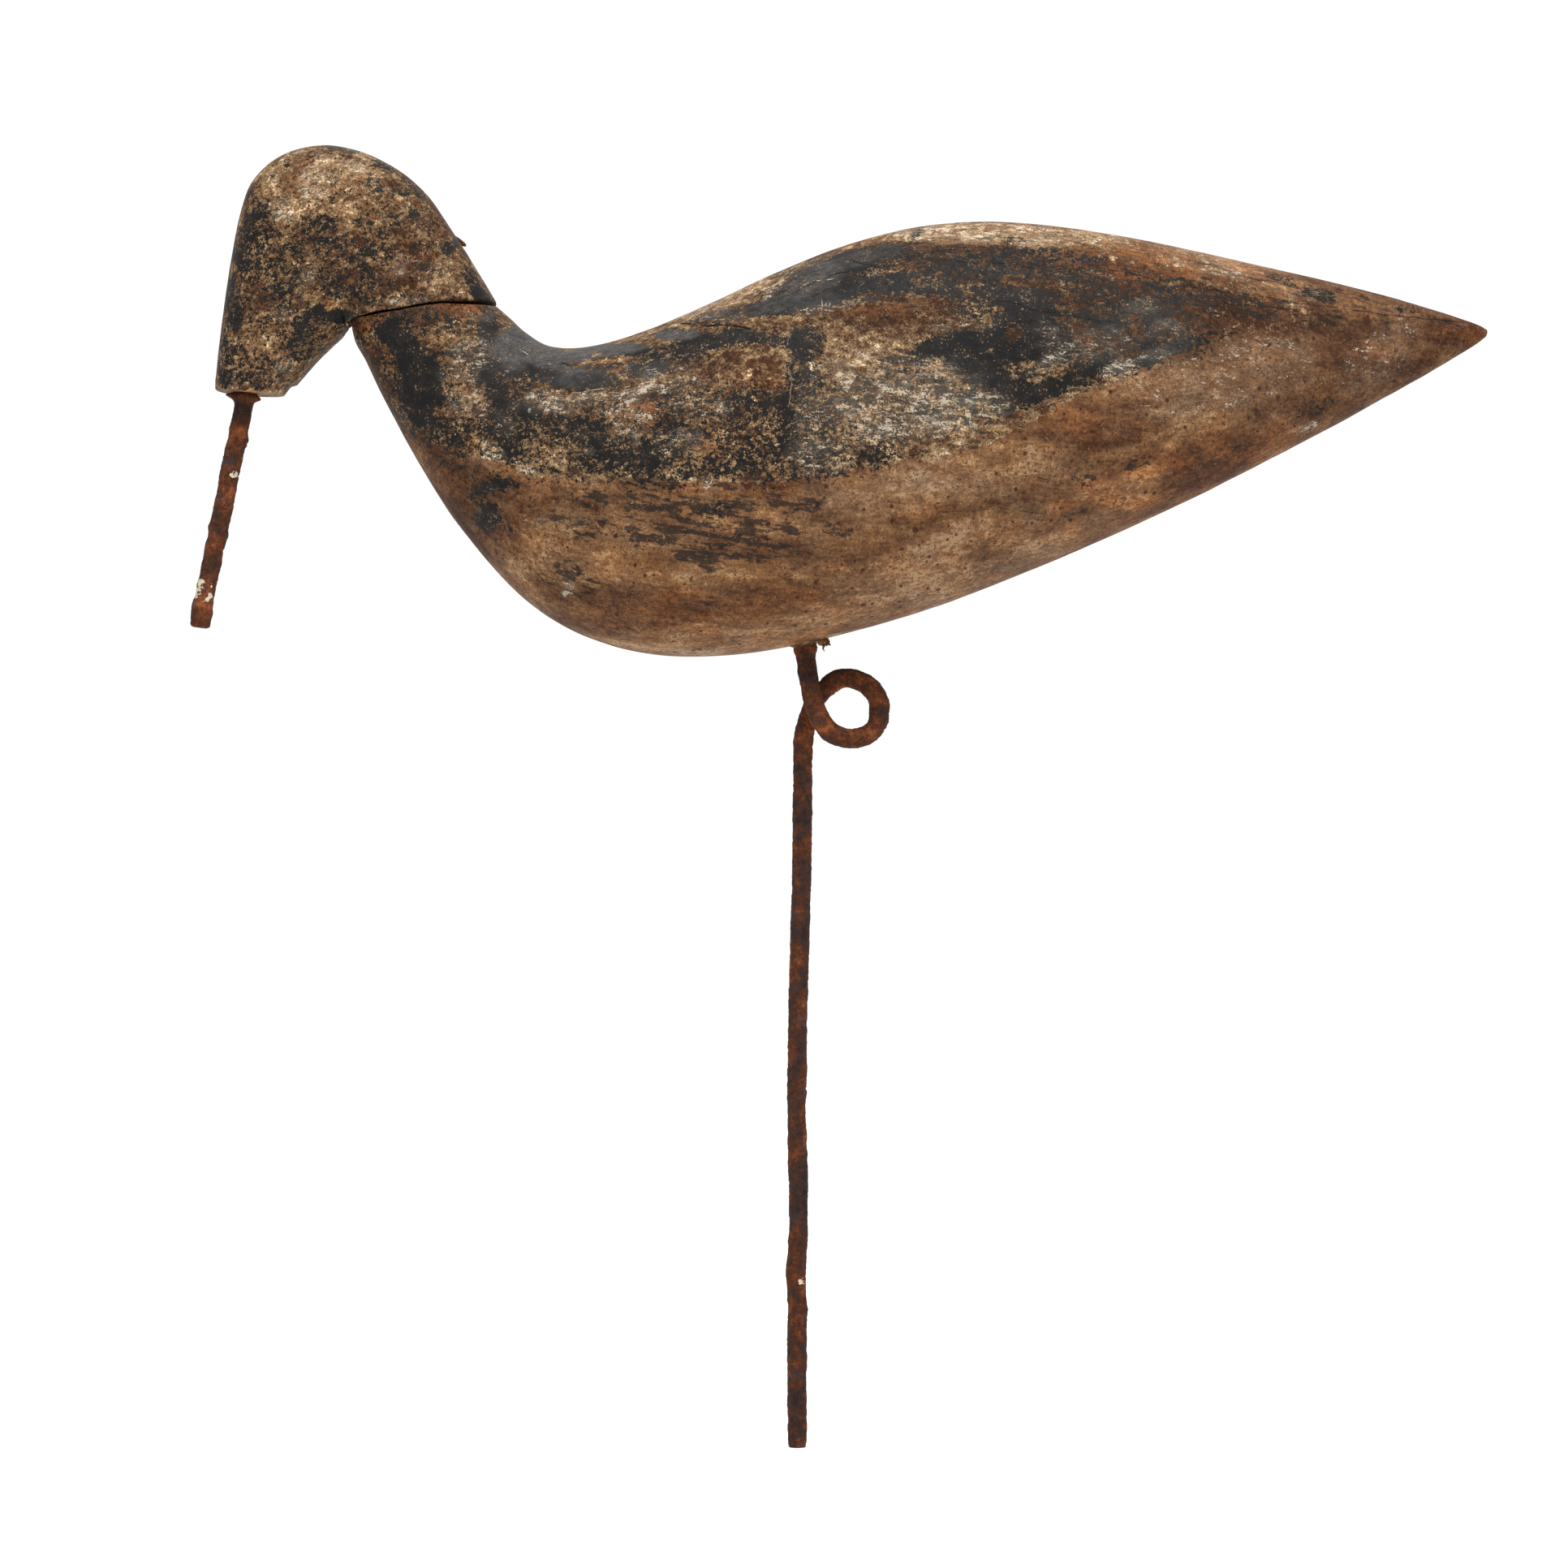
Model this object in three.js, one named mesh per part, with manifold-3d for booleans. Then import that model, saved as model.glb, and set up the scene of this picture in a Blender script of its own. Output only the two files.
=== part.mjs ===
// A folk-carved shorebird decoy of the stick-up kind, which is set in sand or mud on an iron stake.
// The bird is two pieces of wood: a body that runs up into a neck stump, and a head nailed onto the stump.
// The bill is an iron rod let into the sawn end of the muzzle. The stake is a second rod, bent into an open
// eye just below the belly and let into the body above it.
// Millimetres, +Z up, bill towards -X, tail towards +X. The origin is the middle of the stake's foot.

import * as THREE from 'three';
import { mergeVertices } from 'three/addons/utils/BufferGeometryUtils.js';
import Module from 'manifold-3d';

const wasm = await Module();
wasm.setup();

// The carving.
const BIRD_LENGTH = 415; // front of the muzzle to the tip of the tail
const BODY_WIDTH = 92; // across the body where it is widest
const NECK_WIDTH = 38; // across the neck at the seam under the head
const HEAD_WIDTH = 41; // across the cheeks
const MUZZLE_WIDTH = 24; // across the sawn end that holds the bill
const MUZZLE_BEVEL = 1.6; // worn edge round the sawn end
const SEAM_AT_THROAT = 0.3; // opening of the seam between head and neck, at its front
const SEAM_AT_NAPE = 1.1; // and at its back

// The iron stake.
const STAKE_DIAMETER = 6.3;
const STAKE_HEIGHT = 262.1; // from its foot to the belly
const STAKE_TENON = 38; // the length let into the body
const STAKE_SETBACK = 2.9; // how far the hole in the belly stands behind the foot
const STAKE_SWAY = 2.1; // how far the top of the shank bends out of line
const EYE_HALF_WIDTH = 10.5; // from the eye's centre to the middle of the rod
const EYE_HALF_HEIGHT = 10;
const EYE_DROP = 21; // from the belly down to the eye's centre
const STRAND_GAP = 0.5; // between the two strands where the eye closes

// The iron bill.
const BILL_DIAMETER = 6.3;
const BILL_LENGTH = 78.4; // what shows below the muzzle
const BILL_TENON = 28; // what is let into the head
const BILL_TILT = 11.6; // degrees from upright, its tip forwards
const BILL_TIP_ROUNDING = 1.4;

// The nail that holds the head down on the neck.
const NAIL_LENGTH = 40;
const NAIL_SHANK = 2.4;
const NAIL_HEAD = 4.4;
const NAIL_HEAD_THICKNESS = 0.9;
const NAIL_SUNK = 0.3; // how far the underside of its head is pressed into the wood
const NAIL_SLANT = 36; // degrees from upright

const FIT_CLEARANCE = 0.3; // round every piece of iron that is let into wood

// The fibres torn out of the belly just behind the stake.
const TORN_LENGTH = 4.6;
const TORN_SPREAD = 2.2; // between the roots of two fibres

// The ribs of the carving, in thousandths of its length, measured from the hole in the belly.
// A row holds a point of the upper outline, the point of the lower outline that faces it, and how far the
// width has gone from the first width of its stretch to the second.
const MUZZLE_TO_CHEEKS = [
  [-463, 202, -411, 197, 0.0],
  [-462, 213, -401, 205, 0.04],
  [-458, 257, -386, 222, 0.25],
  [-452, 299, -375, 232, 0.48],
  [-445, 339, -366, 242, 0.7],
  [-433, 366, -363, 246, 0.85],
  [-408, 386, -361, 248, 0.95],
  [-373, 392, -360, 249, 1.0],
];
const CHEEKS_TO_NECK = [
  [-334, 381, -360, 250, 0.05],
  [-301, 357, -360, 250, 0.2],
  [-275, 323, -359, 251, 0.5],
  [-254, 287, -359, 252, 0.8],
  [-243, 268, -357, 256, 1.0],
];
const NECK_TO_BODY = [
  [-231, 255, -354, 237, 0.02],
  [-220, 245, -345, 220, 0.05],
  [-200, 234, -327, 183, 0.14],
  [-168, 234, -302, 139, 0.32],
  [-123, 247, -271, 91, 0.55],
  [-72, 269, -225, 38, 0.78],
  [-21, 293, -174, 6, 0.92],
  [36, 315, -110, -10, 1.0],
];
const BODY_TO_TAIL = [
  [100, 329, -27, -5, 0.01],
  [170, 330, 81, 23, 0.07],
  [260, 318, 196, 66, 0.2],
  [349, 299, 304, 115, 0.38],
  [438, 278, 406, 168, 0.61],
  [502, 260, 486, 212, 0.8],
  [528, 251, 525, 235, 0.92],
  [534, 248, 533, 241, 0.96],
];
const TAIL_TIP = [536, 244];

const BODY_SQUARENESS = 2.25; // 2 is an oval section, more is a fuller one
const HEAD_SQUARENESS = 2.6;
const RINGS_PER_RIB = 3;
const RIB_SIDES = 36;
const ROD_SIDES = 10;
const STAKE_STEPS = 110;
const BORE_SIDES = 16;
const NAIL_SIDES = 10;

// Where the eye's arc starts and how far it turns, in degrees about its centre.
const STRAND_LEAN = 8.5;
const EYE_TURN = 325;

const WOOD = { color: 0x6f573d, roughness: 0.8, metalness: 0 };
const RUST = { color: 0x4a2c1c, roughness: 0.95, metalness: 0.2 };

const { degToRad, lerp } = THREE.MathUtils;

// A point of the middle plane from thousandths of the bird's length, with a half-width carried as its y.
function outlinePoint(along, up, halfWidth = 0) {
  return new THREE.Vector3(along, 0, up).multiplyScalar(BIRD_LENGTH / 1000).setY(halfWidth);
}

// The ribs of one stretch, whose width goes from one named size to another.
function stretchRibs(rows, firstWidth, lastWidth) {
  return rows.map(([upperX, upperZ, lowerX, lowerZ, share]) => {
    const halfWidth = lerp(firstWidth, lastWidth, share) / 2;
    return { upper: outlinePoint(upperX, upperZ, halfWidth), lower: outlinePoint(lowerX, lowerZ) };
  });
}

// A smooth line through one point of every rib.
function lineThrough(points) {
  return new THREE.CatmullRomCurve3(points, false, 'catmullrom', 0.5);
}

// One section of the carving: a full oval spanned by the two outline points, upright to the middle plane.
function ribRing(upper, lower, squareness) {
  const fuller = (value) => Math.sign(value) * Math.abs(value) ** (2 / squareness);
  const middle = upper.clone().add(lower).multiplyScalar(0.5);
  const arm = upper.clone().sub(lower).multiplyScalar(0.5);
  return Array.from({ length: RIB_SIDES }, (_, side) => {
    const angle = (2 * Math.PI * side) / RIB_SIDES;
    return middle
      .clone()
      .addScaledVector(arm, fuller(Math.cos(angle)))
      .setY(upper.y * fuller(Math.sin(angle)));
  });
}

// Rings through all the ribs, with smooth ones between them.
function ribRings(ribs, squareness) {
  const upperLine = lineThrough(ribs.map((rib) => rib.upper));
  const lowerLine = lineThrough(ribs.map((rib) => rib.lower));
  const steps = (ribs.length - 1) * RINGS_PER_RIB;
  return Array.from({ length: steps + 1 }, (_, step) =>
    ribRing(upperLine.getPoint(step / steps), lowerLine.getPoint(step / steps), squareness));
}

function ringCentre(ring) {
  return ring.reduce((sum, point) => sum.add(point), new THREE.Vector3()).divideScalar(ring.length);
}

// A closed skin over a row of rings, with a fan of triangles from a point at each end.
function skin(rings, firstPole, lastPole) {
  const sides = rings[0].length;
  const points = [...rings.flat(), firstPole, lastPole];
  const first = points.length - 2;
  const last = points.length - 1;
  const lastRing = (rings.length - 1) * sides;
  const index = [];
  for (let side = 0; side < sides; side++) {
    const next = (side + 1) % sides;
    for (let ring = 0; ring < lastRing; ring += sides) {
      const corners = [ring + side, ring + next, ring + sides + next, ring + sides + side];
      index.push(corners[0], corners[2], corners[1], corners[0], corners[3], corners[2]);
    }
    index.push(first, side, next);
    index.push(last, lastRing + next, lastRing + side);
  }
  return new THREE.BufferGeometry().setFromPoints(points).setIndex(index);
}

function solidOf(geometry) {
  const bare = new THREE.BufferGeometry();
  bare.setAttribute('position', geometry.getAttribute('position'));
  bare.setIndex(geometry.index);
  const merged = mergeVertices(bare, 1e-4);
  return new wasm.Manifold(new wasm.Mesh({
    numProp: 3,
    vertProperties: merged.attributes.position.array,
    triVerts: new Uint32Array(merged.index.array),
  }));
}

function geometryOf(solid) {
  const mesh = solid.getMesh();
  const geometry = new THREE.BufferGeometry();
  geometry.setAttribute('position', new THREE.BufferAttribute(new Float32Array(mesh.vertProperties), 3));
  geometry.setIndex(new THREE.BufferAttribute(new Uint32Array(mesh.triVerts), 1));
  geometry.computeVertexNormals();
  return geometry;
}

function cutFrom(geometry, ...cutters) {
  return geometryOf(cutters.reduce((solid, cutter) => solid.subtract(solidOf(cutter)), solidOf(geometry)));
}

// Turns a shape made along +Y so that it points along a direction, and moves its origin to a place.
function aim(geometry, direction, place) {
  const turn = new THREE.Quaternion().setFromUnitVectors(new THREE.Vector3(0, 1, 0), direction);
  return geometry.applyQuaternion(turn).translate(place.x, place.y, place.z);
}

// A unit vector in the middle plane that points down and forwards, some degrees from upright.
function downAndForward(degrees) {
  return new THREE.Vector3(-Math.sin(degToRad(degrees)), 0, -Math.cos(degToRad(degrees)));
}

const seam = stretchRibs(CHEEKS_TO_NECK, HEAD_WIDTH, NECK_WIDTH).at(-1);

function headRibs() {
  return [
    ...stretchRibs(MUZZLE_TO_CHEEKS, MUZZLE_WIDTH, HEAD_WIDTH),
    ...stretchRibs(CHEEKS_TO_NECK, HEAD_WIDTH, NECK_WIDTH),
  ];
}

// The neck stump starts at the seam, let down by the seam's opening.
function bodyRibs() {
  const acrossSeam = new THREE.Vector3(seam.lower.z - seam.upper.z, 0, seam.upper.x - seam.lower.x);
  acrossSeam.normalize();
  const stump = {
    upper: seam.upper.clone().addScaledVector(acrossSeam, -SEAM_AT_NAPE),
    lower: seam.lower.clone().addScaledVector(acrossSeam, -SEAM_AT_THROAT),
  };
  return [
    stump,
    ...stretchRibs(NECK_TO_BODY, NECK_WIDTH, BODY_WIDTH),
    ...stretchRibs(BODY_TO_TAIL, BODY_WIDTH, 0),
  ];
}

// The sawn end of the muzzle: a smaller ring, set outwards by the worn edge.
function muzzleEnd(firstRing) {
  const centre = ringCentre(firstRing);
  const outwards = downAndForward(0);
  return firstRing.map((point) => {
    const inwards = centre.clone().sub(point);
    const shrink = Math.min(1, MUZZLE_BEVEL / inwards.length());
    return point.clone().addScaledVector(inwards, shrink).addScaledVector(outwards, MUZZLE_BEVEL / 2);
  });
}

// A solid turned about +Y from a profile of radii and heights that runs from its top to its bottom.
function turned(profile, sides) {
  const lathe = new THREE.LatheGeometry(profile.map(([radius, y]) => new THREE.Vector2(radius, y)), sides);
  lathe.index.array.reverse();
  return lathe;
}

// The place of the bill in the sawn end, as a share of the way from its front to its back.
const BILL_PLACE = 0.45;
const billDown = downAndForward(BILL_TILT);
function billRoot() {
  const [end] = headRibs();
  return end.upper.clone().lerp(end.lower, BILL_PLACE).setY(0);
}

// The bill, or its bore where it is grown by a clearance. The bore runs out through the muzzle's end.
function billShape(grown) {
  const profile = [
    [0, BILL_LENGTH],
    [BILL_DIAMETER / 2 + grown - BILL_TIP_ROUNDING, BILL_LENGTH],
    [BILL_DIAMETER / 2 + grown, BILL_LENGTH - BILL_TIP_ROUNDING],
    [BILL_DIAMETER / 2 + grown, -BILL_TENON - grown],
    [0, -BILL_TENON - grown],
  ];
  return aim(turned(profile, BORE_SIDES), billDown, billRoot());
}

// The place of the nail, as a share of the way along the head's upper outline from muzzle to seam.
const NAIL_PLACE = 0.845;
const nailDown = downAndForward(NAIL_SLANT);

// The nail, or its hole where it is grown by a clearance. Its hole runs out through the wood's surface.
function nailShape(grown, above) {
  const upperLine = lineThrough(headRibs().map((rib) => rib.upper));
  const place = upperLine.getPoint(NAIL_PLACE).setY(0).addScaledVector(nailDown, NAIL_SUNK);
  const profile = [
    [0, NAIL_LENGTH + grown],
    [NAIL_SHANK / 4 + grown, NAIL_LENGTH + grown],
    [NAIL_SHANK / 2 + grown, NAIL_LENGTH - 2 * NAIL_SHANK],
    [NAIL_SHANK / 2 + grown, grown],
    [NAIL_HEAD / 2 + grown, grown],
    [NAIL_HEAD / 2 + grown, -NAIL_HEAD_THICKNESS - above],
    [0, -NAIL_HEAD_THICKNESS - above],
  ];
  return aim(turned(profile, NAIL_SIDES), nailDown, place);
}

// The torn fibres: spikes that hang from the belly, the first and longest next to the stake's hole.
const BELLY_SLOPE = 0.2; // of the belly behind the hole
function tornFibres() {
  return Array.from({ length: 2 }, (_, fibre) => {
    const length = TORN_LENGTH / (1 + 0.4 * fibre);
    const spike = new THREE.ConeGeometry(length * 0.5, length, 5).translate(0, length * 0.2, 0);
    const behind = STAKE_DIAMETER / 2 + FIT_CLEARANCE + TORN_SPREAD * (0.5 + fibre);
    const hangs = new THREE.Vector3(0.15 + 0.3 * fibre, -0.1, -1).normalize();
    return aim(spike, hangs, new THREE.Vector3(behind, 0, behind * BELLY_SLOPE));
  });
}

function makeBody() {
  const rings = ribRings(bodyRibs(), BODY_SQUARENESS);
  const tip = outlinePoint(...TAIL_TIP);
  const bird = skin(rings, ringCentre(rings[0]), tip);
  const whole = tornFibres().reduce((solid, spike) => solid.add(solidOf(spike)), solidOf(bird));
  const boreDepth = STAKE_TENON + FIT_CLEARANCE;
  const boreRadius = STAKE_DIAMETER / 2 + FIT_CLEARANCE;
  const below = STAKE_DIAMETER; // the cutter starts this far under the belly
  const bore = new THREE.CylinderGeometry(boreRadius, boreRadius, boreDepth + below, BORE_SIDES)
    .rotateX(Math.PI / 2)
    .translate(0, 0, (boreDepth - below) / 2);
  const body = cutFrom(geometryOf(whole), bore, nailShape(FIT_CLEARANCE, 0));
  return named('body', body, WOOD);
}

function makeHead() {
  const rings = ribRings(headRibs(), HEAD_SQUARENESS);
  const end = muzzleEnd(rings[0]);
  const head = skin([end, ...rings], ringCentre(end), ringCentre(rings.at(-1)));
  return named('head', cutFrom(head, billShape(FIT_CLEARANCE), nailShape(FIT_CLEARANCE, NAIL_HEAD)), WOOD);
}

function makeBill() {
  return named('bill', billShape(0), RUST);
}

function makeHeadNail() {
  return named('head_nail', nailShape(0, 0), RUST);
}

// The turn of the eye: an arc that also steps sideways, so that the two strands pass each other.
class EyeTurn extends THREE.Curve {
  constructor(centre, sideStep) {
    super();
    this.centre = centre;
    this.sideStep = sideStep;
  }
  getPoint(share, target = new THREE.Vector3()) {
    const angle = degToRad(180 + STRAND_LEAN + EYE_TURN * (1 - share));
    target.set(EYE_HALF_WIDTH * Math.cos(angle), 0, EYE_HALF_HEIGHT * Math.sin(angle)).add(this.centre);
    return target.setY(this.sideStep * (0.5 - share));
  }
}

// The stake's middle line from its foot, up the shank, round the eye and into the belly.
function stakeRoute() {
  const sideStep = STAKE_DIAMETER + STRAND_GAP;
  const lean = degToRad(STRAND_LEAN);
  const strandDrop = EYE_DROP + EYE_HALF_HEIGHT * Math.sin(lean);
  const eyeCentre = new THREE.Vector3(
    STAKE_SETBACK + Math.tan(lean) * strandDrop + EYE_HALF_WIDTH * Math.cos(lean), 0, STAKE_HEIGHT - EYE_DROP);
  const eye = new EyeTurn(eyeCentre, sideStep);
  const eyeStart = eye.getPoint(0);
  const eyeEnd = eye.getPoint(1);
  const intoEye = eye.getTangent(0);
  const outOfEye = eye.getTangent(1);
  const belly = new THREE.Vector3(STAKE_SETBACK, 0, STAKE_HEIGHT);
  const tenonTop = belly.clone().setZ(STAKE_HEIGHT + STAKE_TENON);
  const up = new THREE.Vector3(0, 0, 1);
  const shankTop = new THREE.Vector3(STAKE_SWAY, sideStep * 0.4, eyeCentre.z - EYE_HALF_HEIGHT);
  const shank = new THREE.CubicBezierCurve3(
    new THREE.Vector3(), up.clone().multiplyScalar(shankTop.z * 0.6),
    shankTop.clone().addScaledVector(up, -shankTop.z * 0.35), shankTop);
  const route = new THREE.CurvePath();
  route.add(shank);
  route.add(new THREE.CubicBezierCurve3(
    shankTop, shankTop.clone().addScaledVector(up, EYE_HALF_HEIGHT * 0.5),
    eyeStart.clone().addScaledVector(intoEye, -EYE_HALF_HEIGHT * 0.5), eyeStart));
  route.add(eye);
  route.add(new THREE.CubicBezierCurve3(
    eyeEnd, eyeEnd.clone().addScaledVector(outOfEye, EYE_DROP / 3),
    belly.clone().addScaledVector(up, -EYE_DROP / 3), belly));
  route.add(new THREE.LineCurve3(belly, tenonTop));
  return route;
}

function makeStake() {
  // The many-sided section has the area of the round rod.
  const sector = (2 * Math.PI) / ROD_SIDES;
  const cornerRadius = (STAKE_DIAMETER / 2) * Math.sqrt(sector / Math.sin(sector));
  const corners = Array.from({ length: ROD_SIDES }, (_, corner) =>
    new THREE.Vector2(Math.cos(corner * sector), Math.sin(corner * sector)).multiplyScalar(cornerRadius));
  const rod = new THREE.ExtrudeGeometry(new THREE.Shape(corners), {
    steps: STAKE_STEPS,
    bevelEnabled: false,
    extrudePath: stakeRoute(),
  });
  return named('stake', rod, RUST);
}

function named(name, geometry, finish) {
  const mesh = new THREE.Mesh(geometry, new THREE.MeshStandardMaterial(finish));
  mesh.name = name;
  return mesh;
}

const bird = new THREE.Group();
bird.position.set(STAKE_SETBACK, 0, STAKE_HEIGHT);
bird.add(makeBody(), makeHead(), makeBill(), makeHeadNail());

const decoy = new THREE.Group();
decoy.add(makeStake(), bird);

export default decoy;
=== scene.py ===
"""Carves, paints and stages a folk shorebird decoy on an iron stake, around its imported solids."""

import math

import bpy
import numpy as np
from bpy.props import FloatProperty, FloatVectorProperty, IntProperty, PointerProperty
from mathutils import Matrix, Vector


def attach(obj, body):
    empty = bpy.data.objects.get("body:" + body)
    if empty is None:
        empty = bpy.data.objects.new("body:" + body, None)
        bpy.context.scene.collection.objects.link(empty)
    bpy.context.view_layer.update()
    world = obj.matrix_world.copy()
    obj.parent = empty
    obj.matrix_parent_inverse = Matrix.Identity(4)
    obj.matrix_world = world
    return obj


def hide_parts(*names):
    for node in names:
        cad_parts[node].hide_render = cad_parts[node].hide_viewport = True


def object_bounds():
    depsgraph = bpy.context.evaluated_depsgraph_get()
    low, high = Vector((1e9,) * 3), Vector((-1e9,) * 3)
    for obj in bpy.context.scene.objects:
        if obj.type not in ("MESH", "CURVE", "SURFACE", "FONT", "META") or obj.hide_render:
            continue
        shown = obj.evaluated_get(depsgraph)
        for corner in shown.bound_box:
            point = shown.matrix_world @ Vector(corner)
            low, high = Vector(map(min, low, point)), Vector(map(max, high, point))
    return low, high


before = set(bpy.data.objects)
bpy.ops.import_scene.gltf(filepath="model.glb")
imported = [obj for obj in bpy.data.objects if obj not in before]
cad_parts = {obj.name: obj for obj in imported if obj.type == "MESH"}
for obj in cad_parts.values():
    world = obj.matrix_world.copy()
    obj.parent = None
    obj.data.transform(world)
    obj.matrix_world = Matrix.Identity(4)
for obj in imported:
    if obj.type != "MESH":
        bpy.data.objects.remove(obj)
CAD_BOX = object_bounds()

bl_info = {
    "name": "Shorebird Decoy",
    "version": (1, 0, 0),
    "blender": (4, 5, 0),
    "location": "View3D > Sidebar > Decoy",
    "description": "Carves, paints and stages a shorebird decoy on an iron stake",
    "category": "Add Mesh",
}

# Sizes in the functions are millimetres, in the frame of the solids: +Z up, bill towards -X, near side
# towards -Y, origin at the stake's foot. MM turns them into Blender's metres.
MM = 0.001

# The hole in the belly, which the ribs are measured from.
BELLY_HOLE = np.array([2.9, 0.0, 262.1])

# The ribs of the carving in thousandths of its length: upper outline (along, up), lower outline
# (along, up), half of the width there in millimetres.
HEAD_RIBS = (
    (-465, 199.6, -411, 195, 12.0), (-464.8, 206, -404.8, 202.8, 12.1), (-464.7, 208, -400.8, 203.6, 12.2),
    (-463.9, 213, -396.8, 208, 12.3), (-458.4, 257, -385.2, 221.2, 14.1), (-452, 299, -374, 232, 16.1),
    (-444.5, 339, -364.8, 240.6, 18.0), (-433.4, 366.3, -362, 244.6, 19.2),
    (-408, 386.2, -360.4, 246.9, 20.1), (-373, 392.4, -360, 249, 20.5), (-334, 381.2, -360, 250, 20.4),
    (-300.7, 357.2, -360, 250, 20.2), (-276, 322.3, -359, 251, 19.8), (-254, 287, -359, 252, 19.3),
    (-243, 268, -357, 256, 19.0),
)
BODY_RIBS = (
    (-243.3, 265.6, -359.0, 255.2, 19.0), (-231, 255, -355, 237, 19.5), (-220, 245, -345.5, 220, 20.4),
    (-200, 234, -327, 183, 22.8), (-168, 234, -302.6, 138.7, 27.6), (-123, 247, -271.6, 90.5, 33.9),
    (-72, 269, -225, 38, 40.1), (-21, 293, -174, 6, 43.8), (36, 315.2, -110, -9.4, 46.0),
    (100, 329.9, -27, -5.1, 45.5), (170, 331.1, 81, 22.5, 42.8), (260, 318.6, 196, 66, 36.8),
    (349, 299, 304, 114.2, 28.5), (438, 278.7, 406, 166.8, 17.9), (502, 260.9, 486, 211, 9.2),
    (528.4, 252.2, 525.4, 233.8, 3.7), (535, 248.8, 534, 240.2, 1.8),
)
TAIL_DOME = 0.9

# How square each section is, where 2 is an oval, and its height to its width.
HEAD_SQUARENESS, HEAD_DEPTH = 2.6, 1.7
BODY_SQUARENESS, BODY_DEPTH = 2.25, 1.45

# The head's rings and sides, and the distances from the sawn edges of the extra rings that round them.
HEAD_RINGS, HEAD_SIDES = 250, 190
EDGE_RINGS = (0.15, 0.3, 0.5, 0.75, 1.1)

# The saw cut between head and neck: a point on it, its direction square to the cut, how far up the
# neck and head its curve reaches, and its lift at places along it, where the sides are.
SEAM_POINT = np.array([-121.7, 0.0, 370.6])
SEAM_SQUARE = np.array([-0.105, 0.0, 0.9945])
SEAM_REACH = 7.0
SEAM_LIFT = (
    (-146, 0.0), (-139.4, -0.6), (-133.8, -0.35), (-128.3, -0.15), (-122.7, 0.5), (-114.5, 0.9),
    (-107.9, 0.35), (-98.6, 0.0),
)

# The side view that the paint is laid out on: a square of VIEW_PIXELS, seen level from the near side.
VIEW_PIXELS = 1932
PIXEL_MM = 0.265
VIEW_DISTANCE = 1493.3
VIEW_CENTRE = (-4.24, 216.5)

# How square the marks are, where 2 is an oval, and how patchy what is only half covered is.
MARK_SQUARENESS = 2.4
PATCHINESS = 0.45

# The lower edge of the old tan paint, across and down in the side view's pixels.
PAINT_EDGE = (
    (420, 500), (500, 535), (545, 553), (590, 562), (620, 571), (656, 586), (700, 593), (760, 595),
    (830, 593), (915, 598), (960, 594), (1010, 586), (1050, 579), (1100, 572), (1170, 557), (1240, 539),
    (1300, 506), (1330, 489), (1400, 457), (1480, 424), (1560, 412), (1650, 404), (1750, 400), (1850, 396),
)

# Thin lines: their half-width and strength, then their points in the side view's pixels. Dark ones are
# cracks and cuts, pale ones scratches in the paint.
DARK_LINES = (
    (0.34, 1.0, (828, 400), (866, 400), (905, 402), (940, 406), (970, 411)),
    (0.16, 0.6, (790, 404), (828, 400)), (0.18, 0.7, (1343, 328), (1380, 334), (1417, 343)),
    (0.2, 0.7, (1450, 352), (1530, 362), (1620, 376), (1710, 388), (1800, 397)),
    (0.16, 0.6, (1500, 372), (1580, 380), (1660, 393)), (0.16, 0.6, (1180, 322), (1240, 326), (1290, 334)),
    (0.16, 0.55, (1550, 344), (1620, 356), (1690, 368)), (0.18, 0.7, (940, 362), (968, 350), (990, 340)),
    (0.16, 0.7, (955, 372), (985, 356), (1010, 344)), (0.16, 0.6, (1000, 366), (1030, 350), (1052, 342)),
    (0.15, 0.5, (640, 730), (662, 742), (668, 756)), (0.15, 0.5, (714, 776), (742, 772), (768, 778)),
    (0.14, 0.5, (1204, 366), (1240, 372), (1275, 381)), (0.15, 0.6, (470, 296), (486, 303), (500, 299)),
    (0.12, 0.55, (1145, 632), (1230, 627), (1320, 637)), (0.1, 0.5, (1185, 574), (1240, 583), (1295, 592)),
    (0.12, 0.5, (1180, 546), (1214, 552), (1240, 560)), (0.14, 0.6, (1270, 506), (1300, 497), (1332, 486)),
    (0.22, 0.9, (1020, 341), (1034, 337), (1048, 336)), (0.2, 0.9, (1038, 319), (1060, 325), (1080, 328)),
    (0.18, 0.8, (1082, 315), (1100, 320)), (0.34, 0.9, (686, 450), (694, 447), (704, 451)),
    (0.14, 0.6, (1260, 380), (1320, 389), (1380, 400)),
)
PALE_LINES = (
    (0.14, 0.32, (972, 408), (969, 440), (975, 470), (971, 502)), (0.12, 0.5, (1173, 400), (1174, 440)),
    (0.2, 0.9, (343, 235), (350, 229), (358, 222)), (0.16, 0.8, (1012, 369), (1013, 387)),
    (0.16, 0.7, (900, 374), (922, 368), (946, 352)), (0.15, 0.6, (918, 372), (940, 358), (964, 346)),
    (0.15, 0.6, (700, 484), (760, 478), (812, 468)), (0.15, 0.5, (690, 492), (740, 490), (800, 482)),
    (0.18, 0.7, (868, 604), (876, 596), (880, 588)), (0.14, 0.6, (640, 430), (664, 446), (690, 452)),
    (0.13, 0.6, (985, 352), (1004, 346), (1030, 343)), (0.13, 0.5, (1060, 352), (1076, 338), (1084, 330)),
    (0.16, 0.8, (1022, 368), (1022, 385)), (0.14, 0.8, (1033, 367), (1034, 384)),
    (0.16, 0.8, (1046, 366), (1046, 382)), (0.14, 0.7, (1057, 365), (1058, 378)),
    (0.14, 0.7, (1001, 370), (1002, 384)),
)

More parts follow.
